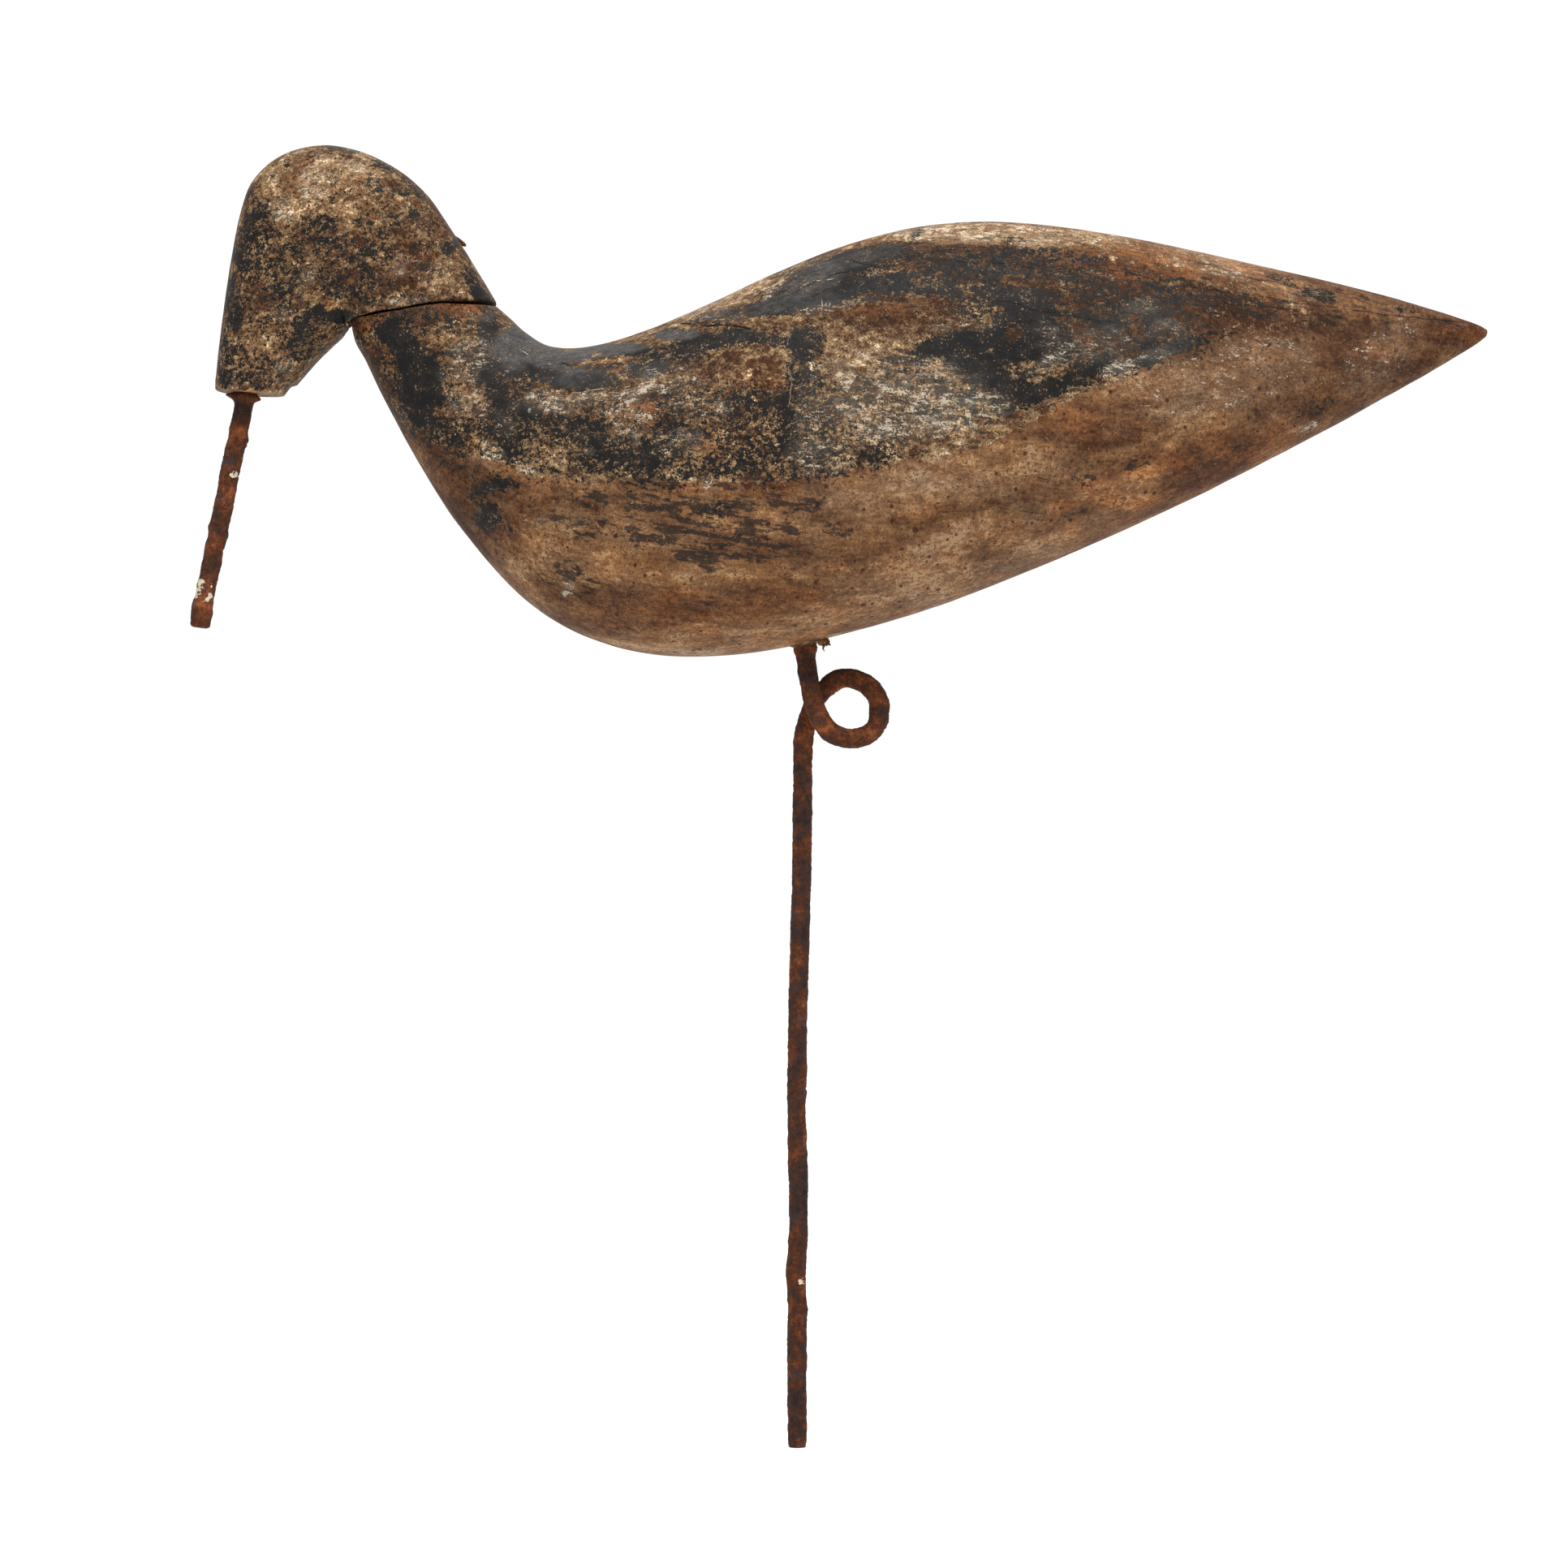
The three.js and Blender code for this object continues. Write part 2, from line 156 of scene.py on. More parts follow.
# Marks of paint, wear and painted light on the near side, in the side view's pixels. A row is a soft-edged
# oval: its centre across and down, its half-lengths, its tilt in degrees (right end raised) and its
# strength.
# A strength below 0 wears away what the rows before it laid down.
CHARCOAL_MARKS = (
    # the head
    (400, 330, 140, 150, 0, 0.27), (390, 226, 84, 38, 0, -0.75), (500, 255, 60, 40, -40, -0.3),
    (322, 262, 14, 10, 30, 0.62), (306, 280, 10, 20, 10, 0.6), (328, 288, 12, 9, 0, 0.4),
    (298, 315, 12, 18, 0, 0.6), (287, 375, 11, 44, 8, 0.7), (276, 440, 9, 40, 6, 0.6),
    (405, 273, 15, 6, 0, 0.65), (448, 272, 13, 5, 0, 0.5), (385, 298, 24, 6, 0, 0.5),
    (369, 312, 10, 9, 0, 0.5), (285, 390, 10, 70, 8, 0.25), (345, 320, 30, 20, 0, 0.25),
    (400, 320, 30, 16, 0, 0.12), (452, 307, 8, 10, 0, 0.7), (370, 344, 10, 9, 0, 0.6),
    (412, 356, 16, 17, 0, 0.6), (440, 361, 13, 9, 0, 0.6), (350, 364, 15, 14, 0, 0.5),
    (404, 387, 28, 9, -6, 0.95), (375, 400, 16, 12, 30, 0.65), (370, 430, 22, 18, 0, 0.5),
    (310, 463, 44, 15, 0, 0.35), (326, 474, 12, 6, 0, 0.5), (554, 303, 8, 13, -50, 0.9),
    (580, 345, 9, 22, 35, 0.7), (593, 363, 17, 8, -35, 0.85), (460, 230, 12, 10, 0, 0.5),
    (418, 232, 10, 10, 0, 0.4), (308, 240, 9, 7, 0, 0.5), (350, 203, 5, 4, 0, 0.6),
    (423, 184, 20, 5, -10, 0.8), (476, 207, 20, 5, -32, 0.65), (512, 232, 20, 6, -42, 0.5),
    (498, 240, 7, 4, 0, 0.8), (508, 262, 6, 8, 0, 0.6), (372, 270, 8, 5, 0, 0.5),
    (470, 330, 50, 24, 0, 0.15), (405, 375, 8, 8, 0, -1.0), (520, 350, 34, 12, 4, -0.5),
    (312, 488, 60, 5.5, -5, -1.0),
    # the neck
    (570, 480, 105, 100, 0, 0.36), (480, 409, 19, 15, 0, 0.95), (510, 442, 38, 22, -48, 1.0),
    (516, 474, 30, 27, -40, 1.0), (516, 505, 22, 22, -40, 0.8), (540, 528, 34, 15, -32, 0.5),
    (554, 397, 5, 13, 0, 0.8), (570, 441, 15, 8, 20, 0.65), (596, 452, 26, 16, 0, 0.55),
    (602, 410, 14, 28, 0, 0.65), (636, 432, 24, 30, -30, 1.0), (613, 500, 14, 38, 0, 0.7),
    (621, 546, 7, 26, 0, 0.7), (580, 485, 16, 46, 34, -0.5), (542, 422, 26, 24, 0, -0.4),
    (482, 442, 4, 3, 0, -1.0), (493, 463, 4, 3, 0, -0.8),
    # the saddle
    (664, 438, 46, 20, -24, 1.0), (700, 466, 56, 12, -6, 0.85), (742, 434, 54, 8, 6, 0.9),
    (760, 458, 60, 12, 6, 0.7), (820, 445, 50, 14, 10, 0.6), (845, 427, 60, 10, 10, 0.8),
    (834, 411, 27, 6, 4, 0.9), (880, 418, 44, 12, 4, 0.7), (905, 388, 56, 9, 10, 0.6),
    (930, 415, 44, 8, -4, 0.75), (632, 455, 12, 16, 0, 0.7), (745, 441, 24, 5, 0, -0.5),
    # the side under the saddle
    (790, 535, 200, 62, 0, 0.42), (638, 520, 20, 50, 0, 0.45), (700, 512, 60, 16, -4, 0.35),
    (723, 530, 46, 16, -8, 0.55), (758, 560, 66, 24, -8, 0.55), (835, 535, 34, 24, 0, 0.4),
    (860, 575, 70, 16, 0, 0.3), (935, 530, 44, 66, 0, 0.5), (781, 511, 32, 18, 10, -0.7),
    (722, 506, 22, 8, -20, -0.5), (869, 554, 13, 13, 0, -0.7), (612, 575, 40, 9, -24, -0.8),
    (740, 485, 100, 6, 6, -0.45),
    # the shoulder and the square patch
    (1005, 342, 62, 22, 18, 0.85), (1062, 317, 62, 12, 14, 0.7), (985, 372, 56, 12, 8, 0.97),
    (1045, 357, 44, 12, 10, 0.85), (1100, 312, 60, 8, 4, 0.5), (935, 355, 34, 8, 20, -1.0),
    (993, 424, 22, 24, 0, 0.85), (985, 458, 16, 18, 0, 0.7), (992, 515, 30, 66, 0, 0.6),
    (1040, 565, 60, 22, 4, 0.34), (1070, 545, 60, 20, 0, 0.22), (1006, 588, 30, 5, 3, 0.6),
    (940, 462, 28, 18, 10, -0.8), (890, 455, 40, 16, 0, -0.4),
    # the back
    (1150, 335, 110, 26, 0, 0.52), (1080, 352, 44, 14, 0, 0.5), (1130, 357, 50, 6, 4, 0.5),
    (1157, 361, 28, 6, 0, 0.85), (1240, 366, 60, 12, -4, 0.7), (1212, 384, 54, 16, 0, 0.6),
    (1120, 388, 50, 7, 0, 0.3), (1240, 330, 70, 22, 0, 0.28), (1230, 330, 13, 15, 0, 0.5),
    (1320, 334, 90, 16, -6, 0.28), (1290, 312, 76, 6, -6, 0.5), (1250, 297, 14, 4, 0, 0.5),
    (1380, 357, 110, 16, -6, 0.3), (1130, 287, 10, 4, 30, 0.6), (1100, 396, 92, 16, 4, -0.8),
    (1170, 404, 40, 5, 14, -0.6),
    # the wing
    (1385, 410, 120, 46, 6, 0.45), (1200, 500, 80, 22, 10, 0.3), (1120, 500, 110, 40, 4, 0.26),
    (1170, 424, 46, 14, 12, 1.0), (1216, 432, 54, 26, 8, 1.0), (1252, 402, 34, 26, 20, 1.0),
    (1277, 418, 24, 40, 0, 1.0), (1240, 462, 44, 10, 4, 0.7), (1305, 426, 14, 20, 0, 0.5),
    (1225, 478, 48, 24, 0, 0.55), (1260, 488, 40, 18, 20, 0.5), (1290, 484, 46, 12, 25, 0.66),
    (1333, 466, 48, 11, 22, 0.62), (1352, 450, 28, 13, 10, 0.7), (1402, 446, 38, 8, 22, 0.7),
    (1450, 425, 50, 8, 18, 0.7), (1415, 436, 15, 11, 0, 0.5), (1378, 385, 14, 19, 0, 0.5),
    (1417, 390, 13, 8, 0, 0.8), (1416, 415, 6, 28, -5, 0.8), (1322, 388, 60, 5, -14, 0.6),
    (1370, 398, 15, 6, 0, 0.6), (1138, 446, 24, 7, 10, 0.6), (1250, 408, 10, 13, 0, -0.8),
    (1229, 433, 11, 4, 20, -0.5), (1268, 450, 16, 5, 10, -0.5),
    # the tail
    (1626, 362, 20, 7, -14, 0.7), (1733, 381, 16, 5, -12, 0.6), (1578, 345, 20, 5, -14, 0.45),
    (1620, 503, 24, 9, 24, 0.3), (1780, 398, 30, 3, -20, 0.4), (1440, 340, 40, 4, -10, 0.4),
    # the belly
    (602, 637, 18, 17, -60, 0.9), (615, 600, 26, 9, 12, 0.65), (590, 612, 12, 10, 0, 0.6),
    (626, 654, 9, 3, 0, 0.5), (883, 628, 22, 9, -4, 0.6), (600, 600, 30, 10, 20, 0.4),
)
# Charcoal that is dragged out along the grain, as on the belly.
STREAK_MARKS = (
    (613, 598, 28, 9, 16, 0.6), (790, 624, 70, 8, -13, 0.66), (745, 616, 40, 6, -8, 0.4),
    (720, 643, 36, 8, -6, 0.5), (728, 660, 20, 7, 0, 0.4), (860, 622, 60, 12, -4, 0.6),
    (980, 623, 34, 12, 6, 0.65), (835, 652, 60, 8, -12, 0.65), (825, 668, 30, 8, -12, 0.5),
    (776, 663, 24, 7, -8, 0.5), (945, 650, 34, 8, 0, 0.5), (936, 667, 36, 8, -8, 0.55),
    (1028, 653, 24, 8, -6, 0.4), (915, 681, 60, 8, -8, 0.5), (862, 750, 50, 7, 0, 0.3),
    (850, 640, 180, 50, -6, 0.3), (900, 640, 80, 40, -6, 0.2), (620, 640, 50, 40, -50, 0.25),
    (700, 720, 40, 20, 0, 0.25), (780, 735, 80, 20, -10, 0.2), (1180, 560, 120, 16, 8, 0.12),
    (1385, 410, 120, 46, 6, 0.3), (1400, 440, 60, 15, 18, 0.4), (1150, 350, 170, 36, -4, 0.4),
    (1170, 440, 80, 50, 8, 0.3), (1540, 375, 120, 18, -10, 0.3), (1640, 395, 120, 20, -10, 0.2),
    (1290, 340, 160, 30, -8, 0.28), (1390, 350, 110, 22, -10, 0.3), (1110, 500, 130, 60, 4, 0.35),
    (1250, 300, 140, 10, 0, 0.25), (1480, 330, 120, 12, -14, 0.2), (1640, 365, 120, 8, -12, 0.25),
    (1010, 378, 44, 8, 6, 0.4), (871, 690, 16, 11, -20, 0.95), (846, 687, 14, 8, 0, 0.7),
    (697, 702, 17, 12, -30, 0.85), (1333, 592, 15, 6, 10, 0.95), (1402, 570, 18, 7, 20, 0.6),
    (885, 628, 30, 10, -4, 0.9),
)
# Where the surface is lighter, and where it is darker, than plain handled wood. The lighter marks on the
# crown and along the top edge of the shoulder and back are a painted highlight, and those along the lower
# belly painted fill light.
LIGHT_AND_PAINTED_LIGHT_MARKS = (
    (390, 228, 80, 44, 0, 0.5), (348, 258, 16, 18, 0, 0.4), (578, 480, 22, 50, 36, 0.2),
    (600, 560, 36, 14, -24, 0.6), (650, 582, 30, 10, -22, 0.4), (790, 530, 200, 60, 0, 0.1),
    (1110, 490, 120, 60, 0, 0.25), (1240, 288, 190, 14, 0, 0.8), (1500, 325, 130, 15, -14, 0.6),
    (880, 372, 110, 9, 22, 0.6), (1700, 440, 66, 36, 30, 0.15), (1690, 372, 120, 10, -13, 0.3),
    (900, 630, 180, 26, -4, 0.1), (890, 792, 180, 20, 0, 0.95), (1120, 712, 130, 36, 17, 0.3),
    (1210, 580, 100, 36, 8, 0.75), (1130, 600, 120, 30, 10, 0.35), (1240, 664, 170, 38, 19, 0.85),
    (1355, 620, 90, 26, 24, 0.7), (1090, 738, 130, 24, 14, 0.8), (1540, 465, 110, 36, 14, 0.3),
    (310, 484, 44, 5, -6, 0.7), (640, 720, 60, 14, -50, 0.4), (760, 770, 70, 12, -20, 0.3),
    (1060, 600, 50, 16, 0, 0.3),
)
# The mark along the neck's rounded front edge, at 455 across, is painted shade.
DARK_MARKS = (
    (522, 388, 84, 13, 9, 0.6), (455, 430, 9, 46, 26, 0.6), (1290, 340, 180, 30, -6, 0.6),
    (1110, 386, 90, 16, 4, 0.75), (1395, 405, 140, 44, 8, 0.8), (1240, 400, 90, 40, 0, 0.3),
    (1450, 370, 110, 26, -10, 0.5), (800, 500, 190, 40, 0, 0.3), (560, 480, 100, 90, 0, 0.15),
    (500, 470, 50, 60, -40, 0.4), (1375, 525, 56, 28, 16, 0.8), (1325, 516, 44, 24, 14, 0.5),
    (1665, 441, 40, 20, 10, 0.35), (1490, 565, 66, 30, 24, 0.95), (1460, 500, 40, 16, 14, 0.35),
    (1400, 570, 40, 12, 20, 0.3), (1795, 402, 46, 24, 0, 0.5), (880, 735, 150, 24, 0, 0.7),
    (1075, 690, 48, 20, 6, 0.2), (700, 740, 50, 26, -30, 0.3), (790, 778, 100, 14, -6, 0.35),
    (1173, 623, 32, 10, 0, 0.2), (850, 650, 150, 46, 0, 0.2), (1480, 372, 140, 20, -10, 0.55),
    (1600, 395, 110, 14, -8, 0.6), (1650, 470, 60, 12, 26, 0.35), (1600, 520, 60, 14, 28, 0.3),
    (498, 352, 12, 7, 0, 0.55), (510, 305, 12, 7, 0, 0.6), (500, 336, 40, 16, 0, 0.3),
    (364, 218, 22, 12, 30, 0.4), (440, 330, 90, 60, 0, 0.2), (1010, 480, 18, 8, 0, 0.5),
    (781, 508, 32, 18, 8, 0.45), (902, 440, 12, 9, 0, 0.6), (860, 455, 26, 12, 0, 0.4),
    (932, 459, 4, 4, 0, 0.9), (892, 660, 6, 5, 0, 0.9), (560, 600, 60, 40, -50, 0.4),
    (610, 640, 50, 46, -50, 0.5), (540, 560, 50, 20, -50, 0.2), (520, 270, 60, 40, -40, 0.2),
    (994, 792, 20, 6, 12, 0.9), (302, 489, 24, 4, 0, 0.7), (1140, 392, 4, 3, 0, 0.9),
    (1123, 394, 3, 3, 0, 0.9), (1161, 398, 6, 3, 0, 0.9), (1000, 680, 30, 16, 0, 0.3),
    (960, 600, 60, 10, 0, 0.2),
)
# Where the old tan paint is left above its edge, on what isn't painted at all.
TAN_MARKS = (
    (400, 330, 190, 190, 0, 0.95), (900, 440, 560, 220, 0, 0.97), (1265, 326, 170, 26, -4, -0.6),
    (938, 460, 30, 20, 8, -0.3), (781, 511, 32, 18, 8, -0.5), (1500, 400, 120, 60, 0, 0.5),
    (498, 352, 14, 8, 0, -0.4), (1390, 400, 110, 40, 6, -0.4), (500, 325, 40, 30, 0, -0.3),
    (364, 216, 22, 11, 30, -0.6), (1700, 440, 80, 30, 30, 0.4), (522, 386, 84, 11, 9, -0.8),
    (1100, 380, 60, 8, 4, -0.5), (1180, 300, 120, 16, 0, -0.4), (312, 488, 60, 6, -5, -1.0),
)
# Yellow-ochre paint, and wood with a red-brown cast.
OCHRE_MARKS = (
    (938, 462, 30, 18, 12, 0.8), (869, 554, 14, 14, 0, 1.0), (910, 560, 60, 40, 0, 0.5),
    (482, 442, 5, 4, 0, 1.0), (493, 463, 4, 3, 0, 0.8), (405, 375, 8, 8, 0, 1.0),
    (580, 546, 15, 7, -16, 0.9), (718, 513, 24, 10, -20, 0.6), (560, 470, 100, 100, 0, 0.2),
    (380, 340, 120, 130, 0, 0.25), (700, 440, 60, 8, 0, 0.4), (708, 436, 15, 4, 0, 1.0),
    (748, 450, 36, 8, 6, 0.6), (1100, 382, 70, 8, 4, 0.3), (1058, 300, 40, 8, 20, 0.7),
    (325, 300, 40, 40, 0, 0.3),
)
RED_MARKS = (
    (1330, 520, 56, 30, 0, 0.5), (1665, 441, 44, 18, 10, 0.6), (1510, 575, 90, 36, 28, 0.8),
    (1795, 402, 60, 30, 0, 0.5), (900, 743, 150, 20, 0, 0.5), (1480, 345, 160, 26, -12, 0.5),
    (1250, 335, 150, 20, -4, 0.2), (1390, 330, 90, 20, -10, 0.35), (440, 320, 80, 60, 0, 0.35),
    (520, 300, 60, 50, -40, 0.35), (498, 352, 20, 10, 0, 0.6), (500, 310, 50, 20, 0, 0.5),
    (364, 216, 24, 13, 30, 0.7), (522, 388, 84, 13, 9, 0.35), (452, 430, 10, 60, 26, 0.6),
    (1385, 606, 100, 34, 26, 0.8), (1110, 700, 130, 44, 17, 0.2), (880, 760, 160, 36, 0, 0.3),
    (781, 500, 34, 12, 8, 0.6), (895, 455, 24, 14, 0, 0.3), (994, 790, 30, 10, 12, 0.9),
    (302, 488, 30, 6, 0, 0.8), (1390, 315, 60, 12, -12, 0.5), (380, 190, 30, 10, 10, 0.4),
)
# Chalky scuffs. The rows along the back's top edge are a painted highlight.
PALE_SCUFF_AND_HIGHLIGHT_MARKS = (
    (348, 258, 15, 17, 0, 0.8), (392, 227, 26, 20, 0, 0.45), (438, 203, 20, 10, 0, 0.4),
    (395, 191, 7, 7, 0, 0.6), (366, 187, 7, 4, 0, 0.9), (335, 215, 6, 5, 0, 0.8),
    (379, 343, 12, 10, 0, 0.5), (493, 332, 9, 10, 0, 0.5), (350, 450, 14, 20, 0, 0.35),
    (350, 387, 16, 9, 0, 0.5), (500, 371, 30, 5, 4, 0.4), (535, 335, 18, 12, 0, 0.3),
    (575, 440, 26, 20, 30, 0.55), (570, 480, 26, 40, 34, 0.4), (608, 556, 15, 9, -30, 1.0),
    (610, 520, 26, 14, -30, 0.4), (648, 578, 16, 7, -25, 0.7), (669, 492, 22, 11, 0, 0.7),
    (690, 500, 60, 10, 0, 0.35), (735, 487, 50, 5, 8, 0.7), (800, 478, 50, 6, 12, 0.6),
    (781, 511, 34, 20, 8, 0.55), (784, 542, 6, 10, 0, 0.6), (723, 557, 10, 3, 0, 0.7),
    (830, 470, 40, 16, 0, 0.4), (860, 500, 40, 12, 0, 0.4), (840, 545, 30, 18, 0, 0.25),
    (872, 595, 8, 9, -30, 0.9), (1073, 436, 23, 7, 8, 1.0), (1042, 472, 8, 11, -30, 0.9),
    (1030, 455, 24, 10, 0, 0.5), (1110, 505, 100, 36, 0, 0.62), (1190, 505, 56, 22, 5, 0.66),
    (1085, 525, 22, 7, 0, 0.6), (1010, 560, 40, 24, 0, 0.4), (1120, 462, 80, 20, 0, 0.4),
    (1380, 455, 22, 9, 14, 0.8), (1400, 450, 44, 10, 20, 0.5), (1440, 408, 24, 14, 0, 0.3),
    (1340, 424, 60, 20, 4, 0.26), (1180, 402, 40, 4, 14, 0.5), (1300, 400, 30, 8, 10, 0.3),
    (1410, 378, 24, 8, 0, 0.3), (1290, 450, 30, 8, 16, 0.4), (1155, 286, 16, 6, 8, 0.8),
    (1245, 288, 160, 11, 0, 0.45), (1270, 302, 26, 6, 0, 0.5), (1480, 322, 60, 12, -16, 0.45),
    (1570, 350, 60, 9, -14, 0.2), (1700, 440, 60, 30, 30, 0.28), (1612, 527, 13, 8, 28, 0.7),
    (700, 726, 12, 9, 0, 0.6), (1020, 378, 44, 6, 8, 0.4), (955, 355, 24, 4, 40, 0.8),
    (905, 365, 30, 4, 20, 0.5), (870, 385, 30, 8, 16, 0.5), (1215, 398, 20, 6, 20, 0.2),
    (995, 505, 14, 50, 0, 0.3), (1560, 425, 60, 8, 0, 0.3), (1510, 465, 120, 40, 14, 0.25),
    (1130, 600, 100, 20, 8, 0.12), (680, 640, 40, 16, 0, 0.25),
)
# Painted sheen: a blue-grey highlight laid on the charcoal, mostly along the nape, saddle and shoulder
# where the overhead light would gleam.
PAINTED_SHEEN_MARKS = (
    (640, 420, 26, 36, -36, 0.75), (686, 440, 50, 16, -16, 0.85), (745, 432, 54, 9, 6, 0.8),
    (832, 412, 30, 7, 4, 0.9), (1000, 343, 40, 18, 18, 0.5), (1062, 318, 50, 10, 14, 0.4),
    (980, 372, 50, 10, 8, 0.4), (590, 385, 20, 12, 0, 0.5), (905, 385, 40, 8, 10, 0.5),
    (1395, 412, 80, 40, 6, 0.25), (1110, 490, 120, 60, 0, 0.2), (770, 462, 100, 14, 4, 0.3),
    (423, 184, 20, 5, -10, 0.5), (740, 490, 60, 8, 4, 0.3),
)

# A few broad marks stand in for all of them on the far side, which the side view doesn't show.
FAR_CHARCOAL = (
    (380, 340, 120, 140, 0, 0.42), (400, 225, 80, 36, 0, -0.5), (500, 450, 50, 22, -56, 0.8),
    (640, 440, 70, 34, -30, 0.85), (790, 430, 150, 24, 6, 0.85), (830, 530, 240, 50, -2, 0.55),
    (1000, 350, 90, 30, 10, 0.8), (1200, 430, 150, 50, 6, 0.6), (1340, 430, 110, 44, 12, 0.45),
    (700, 490, 80, 14, 0, -0.4), (1090, 480, 80, 34, 0, -0.4), (1640, 370, 60, 10, -14, 0.4),
)
FAR_STREAK = (
    (880, 645, 170, 36, -8, 0.4), (1330, 400, 150, 70, -6, 0.35),
)
# On the far side as well, the lighter marks along the back's top edge are a painted highlight and those
# along the belly's lower edge painted fill light.
FAR_LIGHT_AND_PAINTED_LIGHT = (
    (400, 300, 160, 160, 0, 0.3), (850, 520, 380, 90, 0, 0.4), (1300, 300, 260, 20, -6, 0.7),
    (1000, 790, 260, 20, 8, 0.4),
)
FAR_DARK = (
    (1300, 345, 220, 36, -6, 0.5), (1560, 540, 120, 40, 26, 0.4), (900, 730, 220, 26, 0, 0.4),
    (1780, 402, 50, 24, 0, 0.4), (522, 388, 84, 13, 9, 0.5),
)
FAR_TAN = (
    (400, 330, 190, 190, 0, 0.95), (900, 440, 560, 220, 0, 0.95), (1265, 318, 170, 30, -4, -0.7),
    (1500, 400, 120, 60, 0, 0.5),
)
FAR_OCHRE = (
    (850, 520, 300, 60, 0, 0.35), (380, 340, 120, 130, 0, 0.3),
)
FAR_RED = (
    (1540, 560, 130, 50, 26, 0.5), (1400, 350, 200, 30, -10, 0.4), (900, 740, 200, 30, 0, 0.4),
)
# Painted sheen on the far side's charcoal.
FAR_PAINTED_SHEEN = (
    (640, 420, 60, 20, -30, 0.3), (790, 430, 150, 10, 6, 0.25), (1200, 400, 260, 60, 0, 0.15),
)
# Chalky scuffs; the row along the back's top edge is a painted highlight.
FAR_PALE_SCUFF_AND_HIGHLIGHT = (
    (385, 232, 62, 36, 0, 0.35), (1000, 500, 260, 40, 0, 0.35), (1320, 300, 220, 16, -6, 0.35),
)

# Each layer of the paint and painted light: its name on the mesh, its marks on the near and the far side.
PAINT_LAYERS = (
    ("charcoal", CHARCOAL_MARKS, FAR_CHARCOAL), ("streaks", STREAK_MARKS, FAR_STREAK),
    ("old_tan", TAN_MARKS, FAR_TAN),
    ("light", LIGHT_AND_PAINTED_LIGHT_MARKS, FAR_LIGHT_AND_PAINTED_LIGHT), ("dark", DARK_MARKS, FAR_DARK), ("ochre", OCHRE_MARKS, FAR_OCHRE),
    ("red", RED_MARKS, FAR_RED), ("pale", PALE_SCUFF_AND_HIGHLIGHT_MARKS, FAR_PALE_SCUFF_AND_HIGHLIGHT), ("painted_sheen", PAINTED_SHEEN_MARKS, FAR_PAINTED_SHEEN),
)

# The stake's middle line from foot to eye and up into the belly.
SHANK_LINE = (
    (0.1, 0.0, 0.0), (0.0, 0.1, 28), (0.1, 0.2, 46), (-0.4, 0.3, 56.5), (0.3, 0.5, 67), (0.5, 0.6, 77.5),
    (0.1, 0.9, 99), (-0.2, 1.1, 110), (0.0, 1.3, 120), (0.3, 1.6, 141), (1.1, 2.1, 173), (1.7, 2.5, 194),
    (1.95, 3.0, 226),
)
EYE_LINE = (
    (2.5, 3.2, 233.5), (4.1, 3.4, 239.6), (7.2, 3.3, 245.6), (11.6, 3.0, 249.8), (16.6, 2.5, 251.2),
    (22.0, 1.9, 249.5), (25.8, 1.2, 245.6), (27.0, 0.4, 240.9), (25.9, -0.5, 235.9), (22.5, -1.4, 232.4),
    (17.4, -2.2, 231.3), (12.2, -2.8, 232.7), (8.2, -3.2, 236.6), (6.0, -3.4, 241.2), (4.8, -3.3, 245.6),
    (3.6, -2.7, 251.6), (2.95, -1.4, 257.2), (2.8, -0.3, 262.1), (2.9, 0.0, 268.0), (2.9, 0.0, 276.0),
)
# Distances along the stake: where its worn foot ends, and where the eye's width takes over.
FOOT_END = 2.2
EYE_WIDTH_FROM, EYE_WIDTH_TO = 252.9, 270.4

# The bill's middle line, and distances along it: where its crusted end swells, and where its tip rounds.
BILL_LINE = (
    (-177.2, 0.0, 358.0), (-182.2, 0.1, 332.0), (-185.1, 0.1, 319.0), (-187.5, 0.0, 306.0),
    (-192.9, 0.0, 280.0), (-194.5, 0.0, 272.2), (-195.1, 0.0, 267.5),
)
SWELLING_FROM, SWELLING_TO = 79.6, 90.5
TIP_FROM, TIP_TO = 91.7, 92.3

# Blisters of rust: centre, reach and height.
BILL_LUMPS = (
    (-183.1, 0.0, 343.2, 1.5, 2.7), (-176.9, 0.0, 342.5, 1.2, 2.2), (-180.8, -3.2, 342.9, 1.7, 1.1),
    (-180.8, 3.2, 342.9, 1.7, 1.1), (-183.2, -2.2, 342.9, 1.4, 1.1), (-178.2, -2.4, 342.7, 1.4, 1.0),
    (-179.6, 0.0, 328.0, 1.7, 0.8), (-186.4, 0.0, 333.0, 2.2, 0.25), (-183.0, -2.6, 318.0, 2.4, 0.3),
    (-192.2, 0.4, 300.0, 2.0, 0.3), (-186.9, 0.0, 297.0, 2.4, 0.3), (-191.6, 0.0, 272.0, 2.4, 0.35),
    (-197.0, -0.5, 275.0, 2.2, 0.3),
)
STAKE_LUMPS = (
    (-0.6, 0.0, 260.6, 1.7, 0.9), (6.2, 0.0, 260.9, 1.9, 0.6), (2.9, -3.0, 261.2, 2.0, 0.6),
    (2.9, 3.0, 261.2, 2.0, 0.6), (27.8, 0.0, 236.0, 2.5, 0.3), (9.0, -3.0, 231.5, 2.5, 0.3),
    (12.5, 3.0, 247.4, 3.0, 0.35), (22.6, -0.8, 237.4, 2.5, -0.2),
)
NAIL_LUMPS = ((-107.9, 0.6, 392.6, 1.1, 0.5), (-111.4, -1.6, 394.2, 1.0, 0.35))

# The nail: the middle of its head, its lean from upright in degrees, its length, and its radius at
# places along it.
NAIL_TOP = np.array([-110.0, 0, 394.4])
NAIL_SLANT = 36
NAIL_LENGTH = 37
NAIL_RADII = ((0, 1.6), (0.2, 2.15), (0.5, 2.4), (1.1, 2.3), (1.35, 1.8), (1.8, 1.2), (33, 1.1), (37, 0.35))

